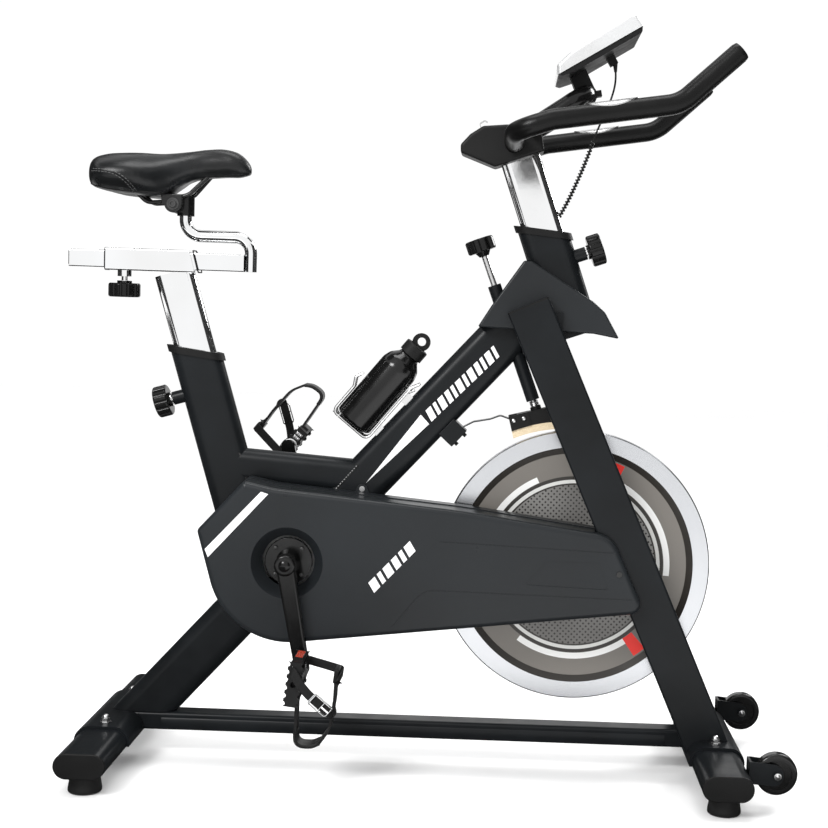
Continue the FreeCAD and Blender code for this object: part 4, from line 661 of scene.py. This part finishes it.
def curve_line(curve):
    """The points of a curve's own line, as it is drawn with no bevel."""
    bare = curve.copy()
    bare.data = curve.data.copy()
    bare.data.bevel_depth = 0
    SCENE.collection.objects.link(bare)
    mesh = applied_mesh(bare)
    line = [vert.co.copy() for vert in mesh.vertices]
    bpy.data.objects.remove(bare)
    bpy.data.meshes.remove(mesh)
    return line


def helix_round(line, radius, pitch, parts_per_turn=14):
    """A coil wound round a line."""
    travelled = 0.0
    helix = []
    for before, after in zip(line, line[1:]):
        step = after - before
        out = step.normalized().cross(LEFT).normalized()
        side = out.cross(step.normalized()).normalized()
        parts = max(1, int(step.length / (pitch / parts_per_turn)))
        for index in range(parts):
            turn = 2 * math.pi * (travelled + step.length * index / parts) / pitch
            helix.append(before + step * (index / parts)
                         + (out * math.cos(turn) + side * math.sin(turn)) * radius)
        travelled += step.length
    return helix


def make_lead():
    """The console's lead from plug to post, with a spiral wrap on its part below the bars."""
    data = bpy.data.curves.new("console_lead_cord", "CURVE")
    data.dimensions = "3D"
    spline = data.splines.new("NURBS")
    spline.points.add(len(LEAD_POINTS) - 1)
    for point, place in zip(spline.points, LEAD_POINTS):
        point.co = (*place, 1.0)
    configure(spline, order_u=3, use_endpoint_u=True, resolution_u=12)
    configure(data, bevel_depth=LEAD_DIAMETER / 2, bevel_resolution=4, use_fill_caps=True)
    data.materials.append(MATERIALS["cable"])
    cord = add_object("console_lead_cord", data)
    line = curve_line(cord)
    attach(cord, "handlebar")
    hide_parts("console_lead")

    wound = smooth_points([point for point in line if point.z < WRAP_TOP], 6)
    wrap = tube_piece("lead_spiral_wrap", helix_round(wound, WRAP_RADIUS, WRAP_PITCH), WRAP_WIRE,
                      "handlebar", "cable", sides=6)


# ---- saddle

# Outlines from tail to nose: half width, top and underside at places along the bike
SADDLE_HALF_WIDTH = [(-566, 4), (-563, 34), (-556, 60), (-545, 78), (-528, 87), (-505, 90), (-480, 86),
                     (-455, 71), (-430, 50), (-405, 37), (-380, 30), (-350, 26), (-325, 23),
                     (-310, 17), (-303, 10), (-301, 3)]
SADDLE_TOP = [(-566, 970), (-562, 984), (-554, 991), (-530, 994.5), (-481, 997), (-449, 996.5),
              (-424, 999), (-400, 1002), (-380, 1005.5), (-340, 1008.5), (-320, 1003), (-307, 991),
              (-301, 981)]
SADDLE_BOTTOM = [(-566, 950), (-561, 941), (-548, 935), (-530, 930.5), (-505, 928), (-481, 927),
                 (-455, 927), (-446, 930), (-424, 944), (-398, 960), (-348, 967), (-304, 969),
                 (-301, 974)]
SADDLE_TAIL, SADDLE_NOSE = -565.5, -301.5
SEAM_ARC = [(-546, 965), (-528, 964), (-511, 961.5), (-497, 955), (-486, 945), (-479, 933.5)]
PIPING_EDGE = [(-556, 945), (-540, 940), (-515, 936), (-488, 934.5), (-462, 934), (-440, 934)]
SEAM_HALF_SPREAD = 1.65
STITCH_LENGTH, STITCH_GAP, STITCH_RADIUS = 0.0042, 0.0017, 0.0005
CROWN_ABOVE_BOX = 0.0022
PUFF_PRESSURE = 4.0
PUFF_MOST = 0.003
PUFF_FRAMES = 20


def height_at(outline, x):
    """A smooth value between an outline's points."""
    x = max(x, outline[0][0])
    for index in range(len(outline) - 1):
        x1, v1 = outline[index]
        x2, v2 = outline[index + 1]
        if x <= x2:
            x0, v0 = outline[max(0, index - 1)]
            x3, v3 = outline[min(len(outline) - 1, index + 2)]
            t = (x - x1) / (x2 - x1)
            slope_1 = (v2 - v0) / (x2 - x0) * (x2 - x1)
            slope_2 = (v3 - v1) / (x3 - x1) * (x2 - x1)
            return ((2 * t ** 3 - 3 * t ** 2 + 1) * v1 + (t ** 3 - 2 * t ** 2 + t) * slope_1
                    + (3 * t ** 2 - 2 * t ** 3) * v2 + (t ** 3 - t ** 2) * slope_2)
    return outline[-1][1]


def saddle_section(x, sides=40):
    """The saddle across the bike at one station: crowned top, full sides, hollow underneath."""
    width = height_at(SADDLE_HALF_WIDTH, x)
    top = height_at(SADDLE_TOP, x)
    bottom = height_at(SADDLE_BOTTOM, x)
    wide = min(1.0, max(0.0, (width - 34) / 50))
    belly = bottom + (top - bottom) * (0.34 + 0.12 * wide)
    points = []
    for index in range(sides):
        turn = 2 * math.pi * index / sides - math.pi / 2
        c, s = math.cos(turn), math.sin(turn)
        y = width * math.copysign(abs(c) ** 0.72, c)
        share = abs(y) / max(width, 1e-6)
        if s >= 0:
            crown = (4 + 9 * wide) * share ** 2.2 * abs(s) ** 0.4
            channel = 2.2 * wide * math.exp(-(y / 9.0) ** 2)
            z = belly + (top - belly) * abs(s) ** 0.62 - crown - channel
        else:
            hollow = 8 * wide * max(0.0, 1 - (share / 0.62) ** 2)
            z = belly - (belly - bottom) * abs(s) ** 0.8 + hollow
            y *= 1 - 0.05 * abs(s)
        points.append(mm(x, y, z))
    return points


def make_saddle():
    """The padded saddle: a lofted shape, puffed by a short cloth run, then stitched."""
    bm = bmesh.new()
    stations = 46
    rings = []
    for index in range(stations + 1):
        share = 0.5 - 0.5 * math.cos(math.pi * index / stations)
        x = SADDLE_TAIL + (SADDLE_NOSE - SADDLE_TAIL) * share
        rings.append([bm.verts.new(point) for point in saddle_section(x)])
    bridge(bm, rings)
    saddle = piece("saddle_cover", bm, "saddle", "saddle_vinyl", smooth=False)
    puff(saddle)
    low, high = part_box("saddle_cushion")
    keep_inside(saddle, low, (high[0], high[1], high[2] + CROWN_ABOVE_BOX))
    saddle.data.materials.clear()
    saddle.data.materials.append(MATERIALS["saddle_vinyl"])
    saddle.data.shade_smooth()
    soften = saddle.modifiers.new("rounded", "SUBSURF")
    soften.levels = soften.render_levels = 1
    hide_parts("saddle_cushion")
    make_saddle_seams(saddle)


def apply_modifier(obj, kind, **settings):
    """Gives an object one modifier and applies it at once."""
    configure(obj.modifiers.new(kind.lower(), kind), **settings)
    obj.data = applied_mesh(obj)
    obj.modifiers.clear()


def puff(obj):
    """Remeshes a closed form and blows it up as cloth, no point moving further than the cap."""
    apply_modifier(obj, "REMESH", mode="VOXEL", voxel_size=0.005)
    apply_modifier(obj, "SMOOTH", factor=0.5, iterations=4)
    rest = [vert.co.copy() for vert in obj.data.vertices]
    cloth = obj.modifiers.new("cloth", "CLOTH")
    configure(cloth.settings, quality=5, mass=0.3, tension_stiffness=20, compression_stiffness=20,
              use_pressure=True, uniform_pressure_force=PUFF_PRESSURE)
    cloth.settings.effector_weights.gravity = 0.0
    cloth.collision_settings.use_collision = False
    configure(cloth.point_cache, frame_start=1, frame_end=PUFF_FRAMES)
    for step in range(1, PUFF_FRAMES + 1):
        SCENE.frame_set(step)
    moved = applied_mesh(obj)
    obj.modifiers.clear()
    for vert, before in zip(moved.vertices, rest):
        shift = vert.co - before
        if shift.length > PUFF_MOST:
            shift *= PUFF_MOST / shift.length
        vert.co = before + shift
    obj.data = moved
    SCENE.frame_set(1)


def keep_inside(obj, low, high, slack=0.0005):
    """Draws any point that stands out of a box back to its faces."""
    for vert in obj.data.vertices:
        for axis in range(3):
            vert.co[axis] = min(max(vert.co[axis], low[axis] + slack), high[axis] - slack)


def flank_line(tree, outline, side, steps, lift=0.0, shift=0.0):
    """A side-view line laid on a flank, shifted along the seam's diagonal and lifted off it."""
    line = []
    for point in smooth_points([(x + shift, 0, z + shift) for x, z in outline], steps):
        place, normal, _, _ = tree.ray_cast(mm(point.x, side * 130, point.z), -side * LEFT)
        if place:
            line.append(place + normal * lift)
    return line


def make_saddle_seams(saddle):
    """Double stitched seams on both flanks and the piping round the lower edge."""
    tree = surface_of(saddle)
    stitches, channel, piping = bmesh.new(), bmesh.new(), bmesh.new()
    for side, _ in SIDES:
        for shift in (-SEAM_HALF_SPREAD, SEAM_HALF_SPREAD):
            dashes(stitches, flank_line(tree, SEAM_ARC, side, 10, 0.0003, shift))
        sweep(channel, flank_line(tree, SEAM_ARC, side, 10, 0.0001), circle_section(0.0009, 8),
              (0, 1, 0.01))
        sweep(piping, flank_line(tree, PIPING_EDGE, side, 8), circle_section(0.0012, 8), UP)
    piece("saddle_stitches", stitches, "saddle", "thread")
    piece("saddle_seam", channel, "saddle", "saddle_vinyl")
    piece("saddle_piping", piping, "saddle", "rubber")


def dashes(bm, route, steps=4):
    """A row of stitches along a route."""
    travelled = 0.0
    current = []
    stitches = [current]
    for before, after in zip(route, route[1:]):
        for index in range(steps):
            if travelled % (STITCH_LENGTH + STITCH_GAP) < STITCH_LENGTH:
                current.append(before.lerp(after, index / steps))
            elif current:
                current = []
                stitches.append(current)
            travelled += (after - before).length / steps
    for stitch in stitches:
        if len(stitch) > 1:
            sweep(bm, stitch, circle_section(STITCH_RADIUS, 6), (0.1, 1, 0.1))


# ---- pedals and straps

STRAP_ROUTE = [(-21, 40, -4), (-19, 46.5, -1), (-7, 47.8, 8), (4, 47.4, 19), (14, 46, 31),
               (34.5, 41.5, 60), (36.5, 39.5, 64.4), (29, 37.5, 67), (8, 35, 66.8), (-9, 33, 66.8),
               (-15.5, 29, 67.4), (-16.0, 0, 68.2), (-15.5, -29, 67.4), (-16.5, -35, 57),
               (-19, -42.5, 25), (-21, -46, 2), (-21.5, -40, -4), (-21.5, 0, -4)]
BUCKLE_START, BUCKLE_END = Vector((14, 46.6, 31)), Vector((34.5, 42.0, 60))
BUCKLE_HALF = 9.2
BUCKLE_CORNER = 4.0
BUCKLE_PIVOT = 0.58
STRAP_WIDTH, STRAP_THICK = 0.014, 0.0022
CAM_PLATE = [(-34, 30, 13.4), (-26, 30, 15.0), (-15, 30, 16.6), (-6, 30, 15.2)]
CLIP_NOSE = [(82, 0, 10.9), (94, 0, 13.0), (100.3, 0, 19), (101.4, 0, 28), (99.3, 0, 40),
             (93, 0, 50.5)]


def pedal_matrix(side, name):
    """Pedal space: X towards the toe, Y outboard, Z towards the sole."""
    crank = CRANK_ANGLE if side < 0 else CRANK_ANGLE + 180
    centre = CRANK_AXIS + polar(crank, CRANK_LENGTH) + LEFT * side * PEDAL_Y
    toe, sole = polar(PEDAL_PITCH[name]), polar(PEDAL_PITCH[name] + 90)
    return Matrix.Translation(centre) @ Matrix((toe, LEFT * side, sole)).transposed().to_4x4()


def make_pedal_details():
    """Each pedal's strap with its buckle and clip, its reflector lens and its bearing."""
    for make in (make_strap, make_reflector, make_bearing):
        for side, name in SIDES:
            make(name, pedal_matrix(side, name))


def make_strap(name, place):
    """The toe strap, a closed loop of webbing, with the metal and plastic that hold it."""
    toe = place.to_3x3() @ Vector((1, 0, 0))
    bm = bmesh.new()
    line = local(place, smooth_points(STRAP_ROUTE, 7, True))
    sweep(bm, line, flat_section(STRAP_WIDTH, STRAP_THICK), toe.cross, closed=True)
    strap = piece(name + "_strap", bm, name + "_pedal", "webbing")
    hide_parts(name + "_toe_strap")
    make_buckle(name, place)
    make_cam_and_clip(name, place)


def make_buckle(name, place):
    """A wire frame buckle on the outer run of the strap, with its bars and tongue."""
    along = (BUCKLE_END - BUCKLE_START).normalized()
    length = (BUCKLE_END - BUCKLE_START).length
    out = Vector((0.0, 1.0, 0.13)).normalized()
    wide = along.cross(out).normalized()
    turn = place.to_3x3()
    half, radius = BUCKLE_HALF, BUCKLE_CORNER

    def spots(offsets, height):
        return local(place, [BUCKLE_START + along * u + wide * v + out * height for u, v in offsets])

    ring = []
    for (u, v), start in zip(rectangle((0, length), (-half, half)), (180, 270, 0, 90)):
        centre = (u + (radius if u == 0 else -radius), v + (radius if v < 0 else -radius))
        for step in range(7):
            angle = math.radians(start + 15 * step)
            ring.append((centre[0] + radius * math.cos(angle), centre[1] + radius * math.sin(angle)))
    bm = bmesh.new()
    sweep(bm, spots(ring, 1.6), circle_section(0.0011, 8), turn @ out, closed=True)
    pivot = length * BUCKLE_PIVOT
    for u in (2.0, pivot):
        bar = [(u, v) for v in (-half, -half / 2, 0, half / 2, half)]
        sweep(bm, spots(bar, 2.2), circle_section(0.001, 8), turn @ along)
    tongue = [spots([(u, 0)], height)[0]
              for u, height in ((pivot, 3.4), (length * 0.8, 3.8), (length - 0.5, 3.2))]
    sweep(bm, tongue, flat_section(0.0032, 0.0014), turn @ out)
    piece(name + "_buckle", bm, name + "_pedal", "chrome")


def make_cam_and_clip(name, place):
    """The strap's cam plate, the slotted end of the clip and the clip's swollen nose."""
    turn = place.to_3x3()
    cam = bmesh.new()
    sweep(cam, local(place, smooth_points(CAM_PLATE, 5)), flat_section(0.012, 0.0018), turn @ UP)
    piece(name + "_strap_cam", cam, name + "_pedal", "chrome")

    clip = bmesh.new()
    slot = place @ Matrix.Translation(mm(-16, 0, 61.4))
    bevelled_block(clip, slot, (0.021, 0.034, 0.0076), 0.0014)
    outboard = turn @ LEFT
    sweep(clip, local(place, smooth_points(CLIP_NOSE, 6)), flat_section(0.036, 0.0056),
          lambda ahead: ahead.cross(outboard))
    piece(name + "_clip_slot", clip, name + "_pedal", "nylon")


def make_reflector(name, place):
    """A ribbed lens over the pedal's end reflector."""
    bm = bmesh.new()
    for index in range(9):
        matrix = place @ Matrix.Translation(mm(-39.2, -18 + 4.5 * index, 0.5))
        bevelled_block(bm, matrix, (0.0011, 0.0041, 0.0115), 0.0004)
    piece(name + "_reflector", bm, name + "_pedal", "red_reflector")


def make_bearing(name, place):
    """The bright bearing cap on the pedal's inboard end and the bolted plates beside it."""
    face = place @ basis(mm(0, -42, 0), (1, 0, 0), -LEFT)
    bm = bmesh.new()
    lathe(bm, BEARING, face, 40)
    for x in (-24.5, -17.0, 17.0, 24.5):
        plate = face @ Matrix.Translation(mm(x, 0, 0.5))
        bevelled_block(bm, plate, (0.0056, 0.0125, 0.0018), 0.0005)
        for y in (-3.6, 3.6):
            lathe(bm, PLATE_BOLT, face @ Matrix.Translation(mm(x, y, 1.3)), 16)
    piece(name + "_pedal_bearing", bm, name + "_pedal", "zinc")


# ---- decals

COVER_STRIPE = [(-262.0, 461.4), (-250.4, 457.8), (-344.9, 352.6), (-350.3, 365.4)]
BEAM_WEDGE = [(-100.9, 471.6), (0.1, 573.0), (-14.0, 588.0)]
BAR_BEATS = (1.0, 0.55, 1.0, 0.8, 0.55)
BAR_SLANT = 0.28
VINYL_LIFT = 0.00025


def cut_up(bm, step):
    """Cuts a flat outline along X and Z, so that it can follow a curved face."""
    for axis, normal in ((0, Vector((1, 0, 0))), (2, UP)):
        cut = min(vert.co[axis] for vert in bm.verts) + step
        high = max(vert.co[axis] for vert in bm.verts)
        while cut < high:
            bmesh.ops.bisect_plane(bm, geom=bm.verts[:] + bm.edges[:] + bm.faces[:],
                                   plane_co=normal * cut, plane_no=normal)
            cut += step
    bmesh.ops.triangulate(bm, faces=bm.faces[:])


def draped(name, outlines, node, step):
    """Thin vinyl cut to side-view outlines and laid on a node's right flank."""
    tree = surface_of(NODES[node])
    bm = bmesh.new()
    for outline in outlines:
        part = bmesh.new()
        part.faces.new([part.verts.new(mm(x, 0, z)) for x, z in outline])
        cut_up(part, step)
        copies = {}
        for vert in part.verts:
            place, normal, _, _ = tree.ray_cast(Vector((vert.co.x, -0.4, vert.co.z)), LEFT)
            if place:
                lift = normal * (VINYL_LIFT if normal.y < 0 else -VINYL_LIFT)
                copies[vert] = (bm.verts.new(place + lift), bm.verts.new(place - lift))
        for face in part.faces:
            if all(vert in copies for vert in face.verts):
                bm.faces.new([copies[vert][0] for vert in face.verts])
                bm.faces.new([copies[vert][1] for vert in reversed(face.verts)])
        for edge in part.edges:
            if len(edge.link_faces) == 1 and all(vert in copies for vert in edge.verts):
                first, second = (copies[vert] for vert in edge.verts)
                bm.faces.new((first[0], second[0], second[1], first[1]))
        part.free()
    bmesh.ops.remove_doubles(bm, verts=bm.verts, dist=1e-7)
    piece(name, bm, "frame", "white_vinyl", angle=60)


def slanted_bars(start, end, height, count, gap):
    """A row of plain leaning bars between two side-view points, their widths in a repeating beat."""
    along = Vector(end) - Vector(start)
    length = along.length
    along.normalize()
    up = Vector((-along.y, along.x))
    lean = height * BAR_SLANT
    beats = [BAR_BEATS[index % len(BAR_BEATS)] for index in range(count)]
    unit = (length - gap * (count - 1) - lean) / sum(beats)
    outlines = []
    travelled = 0.0
    for beat in beats:
        over = travelled + unit * beat
        corners = ((travelled, 0), (over, 0), (over + lean, height), (travelled + lean, height))
        outlines.append([tuple(Vector(start) + along * u + up * v) for u, v in corners])
        travelled = over + gap
    return outlines


def make_decals():
    """The pale stripe on the cover, the wedge on the beam and plain bars where lettering would be."""
    draped("cover_stripe", [COVER_STRIPE], "cover_outer", 0.006)
    draped("cover_bars", slanted_bars((-76, 304), (-8, 378), 18, 6, 5.0), "cover_outer", 0.006)
    draped("beam_wedge", [BEAM_WEDGE], "main_tube", 0.008)
    draped("beam_bars", slanted_bars((4, 577), (116, 692), 20, 12, 4.5), "main_tube", 0.008)


# ---- console

CONSOLE_CORNER = mm(187.5, 0, 1138.6)
CONSOLE_TILT = 31.5
LENS_HEIGHT = 22.65
FIGURE_THICK = 0.12
# Rows of figures: height up the face, digits, their width, height and stroke
FIGURE_ROWS = ((108, "1830", 12, 17.0, 1.9), (88, "0245", 8.0, 11.5, 1.3), (70, "1200", 8.0, 11.5, 1.3))
SEGMENTS = {"0": "abcdef", "1": "bc", "2": "abged", "3": "abgcd", "4": "fgbc", "5": "afgcd",
            "8": "abcdefg"}


def segment_digit(bm, place, digit, right, low, size, stroke):
    """One seven-segment digit. The rider reads it with its top up the face."""
    wide, tall = size
    middle = tall / 2
    spans = {"a": ((0, tall), (wide, tall)), "b": ((wide, middle), (wide, tall)),
             "c": ((wide, 0), (wide, middle)), "d": ((0, 0), (wide, 0)), "e": ((0, 0), (0, middle)),
             "f": ((0, middle), (0, tall)), "g": ((0, middle), (wide, middle))}
    half, trim = stroke / 2, stroke * 0.62
    for key in SEGMENTS[digit]:
        (r0, u0), (r1, u1) = spans[key]
        level = u0 == u1
        start, end, line = (r0, r1, u0) if level else (u0, u1, r0)
        start, end = start + trim, end - trim
        corners = [(start - half, line), (start, line - half), (end, line - half),
                   (end + half, line), (end, line + half), (start, line + half)]
        if not level:
            corners = [(r, u) for u, r in corners]
        slab(bm, place, [(low + u, -(right + r)) for r, u in corners], LENS_HEIGHT,
             LENS_HEIGHT + FIGURE_THICK)


def make_console_details():
    """Figures on the display and the seam ribs along the console's base."""
    place = basis(CONSOLE_CORNER, polar(CONSOLE_TILT), polar(CONSOLE_TILT + 90))
    bm = bmesh.new()
    for low, text, wide, tall, stroke in FIGURE_ROWS:
        pitch = wide * 1.55
        right = -pitch * 2
        for index, digit in enumerate(text):
            across = right + index * pitch + (2.5 if index > 1 else 0)
            segment_digit(bm, place, digit, across, low, (wide, tall), stroke)
        colon_y = -(right + 2 * pitch - 1.4)
        for spot in (low + tall * 0.3, low + tall * 0.7):
            dot = rectangle((spot - 0.7, spot + 0.7), (colon_y - 0.7, colon_y + 0.7))
            slab(bm, place, dot, LENS_HEIGHT, LENS_HEIGHT + FIGURE_THICK)
    piece("display_figures", bm, "handlebar", "rubber", smooth=False)

    ribs = bmesh.new()
    for side, _ in SIDES:
        for x in (30, 52, 74, 118, 134):
            matrix = place @ Matrix.Translation(mm(x, side * 73.6, -4.2))
            bevelled_block(ribs, matrix, (0.0022, 0.0016, 0.0066), 0.0004)
        rail = local(place, [(x, side * 73.9, -0.9) for x in (8, 80, 152)])
        sweep(ribs, rail, circle_section(0.0007, 8), LEFT)
    piece("console_seam_ribs", ribs, "handlebar", "black_plastic")


# ---- brake, screws and other small parts

SHOE_CORNER = mm(130.3, 0, 589.8)
SHOE_SLOPE = 14.5
SPRING_TURNS, SPRING_STEPS = 3, 28
SPRING_FOOT, SPRING_TOP = 0.283, 0.2745
SPRING_RADIUS, SPRING_WIRE = 0.0066, 0.0009
RIVET_DROP, RIVET_Y = 0.009, 0.0172
SCREW_CIRCLE, FLANGE_FACE_Y = 0.030, 0.0811
CRANK_FACE_Y = 0.1262
CLAMP_FACE_Y = 0.028
TILT_AXIS = mm(-427, 0, 918)
WHEEL_FACES = (mm(568, -201.4, 57), mm(568, 162.6, 57))
# Each sleeve liner's place along the slide and its lean
LINERS = ((-539.0, 0.0), (-390.6, 0.268))
LINER_HALF, END_CAP_HALF, END_CAP_X = 17.6, 13.3, -598.6
# Each weld bead's lower and upper end in side view, and its distance from the middle
WELD_BEADS = (((-299.0, 470), (-312.0, 514), 17.4), ((-153.0, 456.5), (-115.0, 501.5), 19.4))
WELD_RADIUS, WELD_RIPPLE = 0.0017, 0.0003
WELD_STEPS, RIPPLE_STEPS = 60, 5
TAB_OUTLINE = [(-120, 452), (-94, 452), (-99.5, 466), (-103, 469.5), (-111, 469.5), (-114.5, 466)]
TAB_FACES = (21.6, 23.6)
FLOOR_RIB_INSET, FLOOR_RIB_SUNK, FLOOR_RIB_DROP = 0.055, 0.0006, 0.0035
FLOOR_RIB_DEPTH, FLOOR_RIB_HALF_HEIGHT = 0.0026, 0.0098

# Profiles of (radius, height) in millimetres, from the top down
RIVET = [(0, 1.1), (1.3, 1), (2.6, 0.6), (3.4, 0), (3.4, -0.3), (0, -0.3)]
SCREW = [(0, 0.495), (0.616, 0.495), (0.84, 0.9), (1.96, 0.72), (2.8, 0), (2.8, -0.27), (0, -0.27)]
CAP = [(0, 3.4), (4, 3.1), (7.5, 1.8), (9.5, 0), (9.5, -1), (0, -1)]
WHEEL_BOLT = [(0, 3.4), (1.6, 3.3), (3.4, 2.4), (4.2, 0.9), (5.6, 0.7), (5.8, -0.4), (0, -0.4)]
CLAMP_BOLT = [(0, 3.2), (3, 3.2), (3.6, 5.2), (5.6, 5.2), (6.4, 4.4), (6.4, 1), (9.8, 1), (10.2, 0.4),
              (10.2, -0.4), (0, -0.4)]
BEARING = [(0, -1), (11.8, -1), (11.8, 0.9), (10, 1.3), (9.6, 3.2), (7.6, 4.6), (7, 5.8), (0, 5.8)]
PLATE_BOLT = [(0, 1.4), (1.4, 1.2), (1.9, 0), (0, 0)]


def side_face(spot, out, side):
    """A matrix whose Z points out of the bike's side, some way out from a place."""
    return basis(spot + LEFT * side * out, (1, 0, 0), LEFT * side)


def turned(name, profile, places, body, finish, slot=None, sides=32):
    """A piece made of one turned shape at several places."""
    bm = bmesh.new()
    for place in places:
        lathe(bm, profile, place, sides)
    piece(name, bm, body, finish)


def make_brake_spring():
    """The return spring on the brake rod."""
    foot = BRAKE_KNOB_CENTRE - BRAKE_DIR * SPRING_FOOT
    top = BRAKE_KNOB_CENTRE - BRAKE_DIR * SPRING_TOP
    side = BRAKE_DIR.cross(LEFT).normalized()
    count = SPRING_TURNS * SPRING_STEPS
    line = []
    for index in range(count + 1):
        turn = 2 * math.pi * index / SPRING_STEPS
        line.append(foot.lerp(top, index / count)
                    + (side * math.cos(turn) + LEFT * math.sin(turn)) * SPRING_RADIUS)
    tube_piece("brake_spring", line, SPRING_WIRE, "brake_shoe", "zinc")


def make_turned_parts():
    """Rivets, screws, caps and bolt heads, each piece one turned shape at several places."""
    rivets = [SHOE_CORNER + polar(SHOE_SLOPE, along * MM) - polar(SHOE_SLOPE + 90, RIVET_DROP)
              for along in (7.0, 24.0)]
    screws = [CRANK_AXIS + polar(angle, SCREW_CIRCLE) for angle in (45, 135, 225, 315)]
    both = (-1, 1)
    heads = [side_face(spot, RIVET_Y, side) for spot in rivets for side in both]
    turned("shoe_rivet_heads", RIVET, heads, "brake_shoe", "zinc", sides=24)
    turned("flange_screws", SCREW, [side_face(spot, FLANGE_FACE_Y, -1) for spot in screws], "crankset",
           "gunmetal", "zinc", sides=24)
    turned("crank_caps", CAP, [side_face(CRANK_AXIS, CRANK_FACE_Y, side) for side in both], "crankset",
           "gloss_black", sides=36)
    turned("wheel_bolts", WHEEL_BOLT, [side_face(spot, 0, -1) for spot in WHEEL_FACES], "frame", "zinc")
    turned("clamp_bolts", CLAMP_BOLT, [side_face(TILT_AXIS, CLAMP_FACE_Y, side) for side in both],
           "saddle", "gunmetal", "zinc")


def square_loop(half, parts, place_of):
    """Points round a square, each placed by a function of its two coordinates."""
    corners = rectangle((-half, half), (-half, half))
    loop = []
    for (y0, z0), (y1, z1) in zip(corners, corners[1:] + corners[:1]):
        for step in range(parts):
            share = (step + 0.5) / parts
            loop.append(place_of(y0 + (y1 - y0) * share, z0 + (z1 - z0) * share))
    return loop


def make_slide_liners():
    """Black liners at both ends of the seat slide's sleeve, the front one leaning, and its end cap."""
    bm = bmesh.new()
    for x, lean in LINERS:
        loop = square_loop(LINER_HALF, 4, lambda y, z: mm(x - z * lean, y, SLIDE_Z + z))
        sweep(bm, loop, flat_section(0.0022, 0.0021), (1, 0, 0), closed=True)
    piece("slide_liners", bm, "seat_post", "black_plastic")

    cap = bmesh.new()
    loop = square_loop(END_CAP_HALF, 5, lambda y, z: mm(END_CAP_X, y, SLIDE_Z + z))
    sweep(cap, loop, flat_section(0.0018, 0.0016), (1, 0, 0), closed=True)
    piece("slide_end_cap", cap, "seat_slide", "black_plastic")


def make_welds():
    """Rippled weld beads where the cross tube meets the seat tube and the main tube."""
    bm = bmesh.new()
    for side, _ in SIDES:
        for low, high, y in WELD_BEADS:
            start, end = mm(low[0], side * y, low[1]), mm(high[0], side * y, high[1])
            across = (end - start).normalized().cross(LEFT)
            rings = []
            for index in range(WELD_STEPS + 1):
                swell = WELD_RADIUS + WELD_RIPPLE * math.cos(2 * math.pi * index / RIPPLE_STEPS)
                rings.append([bm.verts.new(start.lerp(end, index / WELD_STEPS) + across * a + LEFT * b)
                              for a, b in circle_section(swell, 8)])
            bridge(bm, rings)
    piece("weld_beads", bm, "frame", "gunmetal")


def make_cover_tab():
    """The small tab under the cover's upper screw."""
    bm = bmesh.new()
    slab(bm, side_face(Vector(), 0, -1), TAB_OUTLINE, *TAB_FACES)
    piece("cover_tab", bm, "frame", "cover_plastic", angle=30)


def make_floor_tube_ribs():
    """The rounded rib along each flank of the floor tube, under its groove."""
    low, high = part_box("floor_tube")
    middle, start, end = (low[2] + high[2]) / 2, low[0] + FLOOR_RIB_INSET, high[0] - FLOOR_RIB_INSET
    section = [(FLOOR_RIB_DEPTH * across, FLOOR_RIB_HALF_HEIGHT * over)
               for across, over in circle_section(1.0, 18)]
    bm = bmesh.new()
    for side, _ in SIDES:
        flank = side * (high[1] - FLOOR_RIB_SUNK)
        line = [Vector((start + (end - start) * index / 8, flank, middle - FLOOR_RIB_DROP))
                for index in range(9)]
        sweep(bm, line, section, UP)
    piece("floor_tube_ribs", bm, "frame", "frame_paint")


def main():
    make_camera()
    make_lead()
    paint_nodes()
    make_saddle()
    make_pedal_details()
    make_floor_tube_ribs()
    make_decals()
    make_console_details()
    make_brake_spring()
    make_turned_parts()
    make_slide_liners()
    make_welds()
    make_cover_tab()
    make_studio()


main()
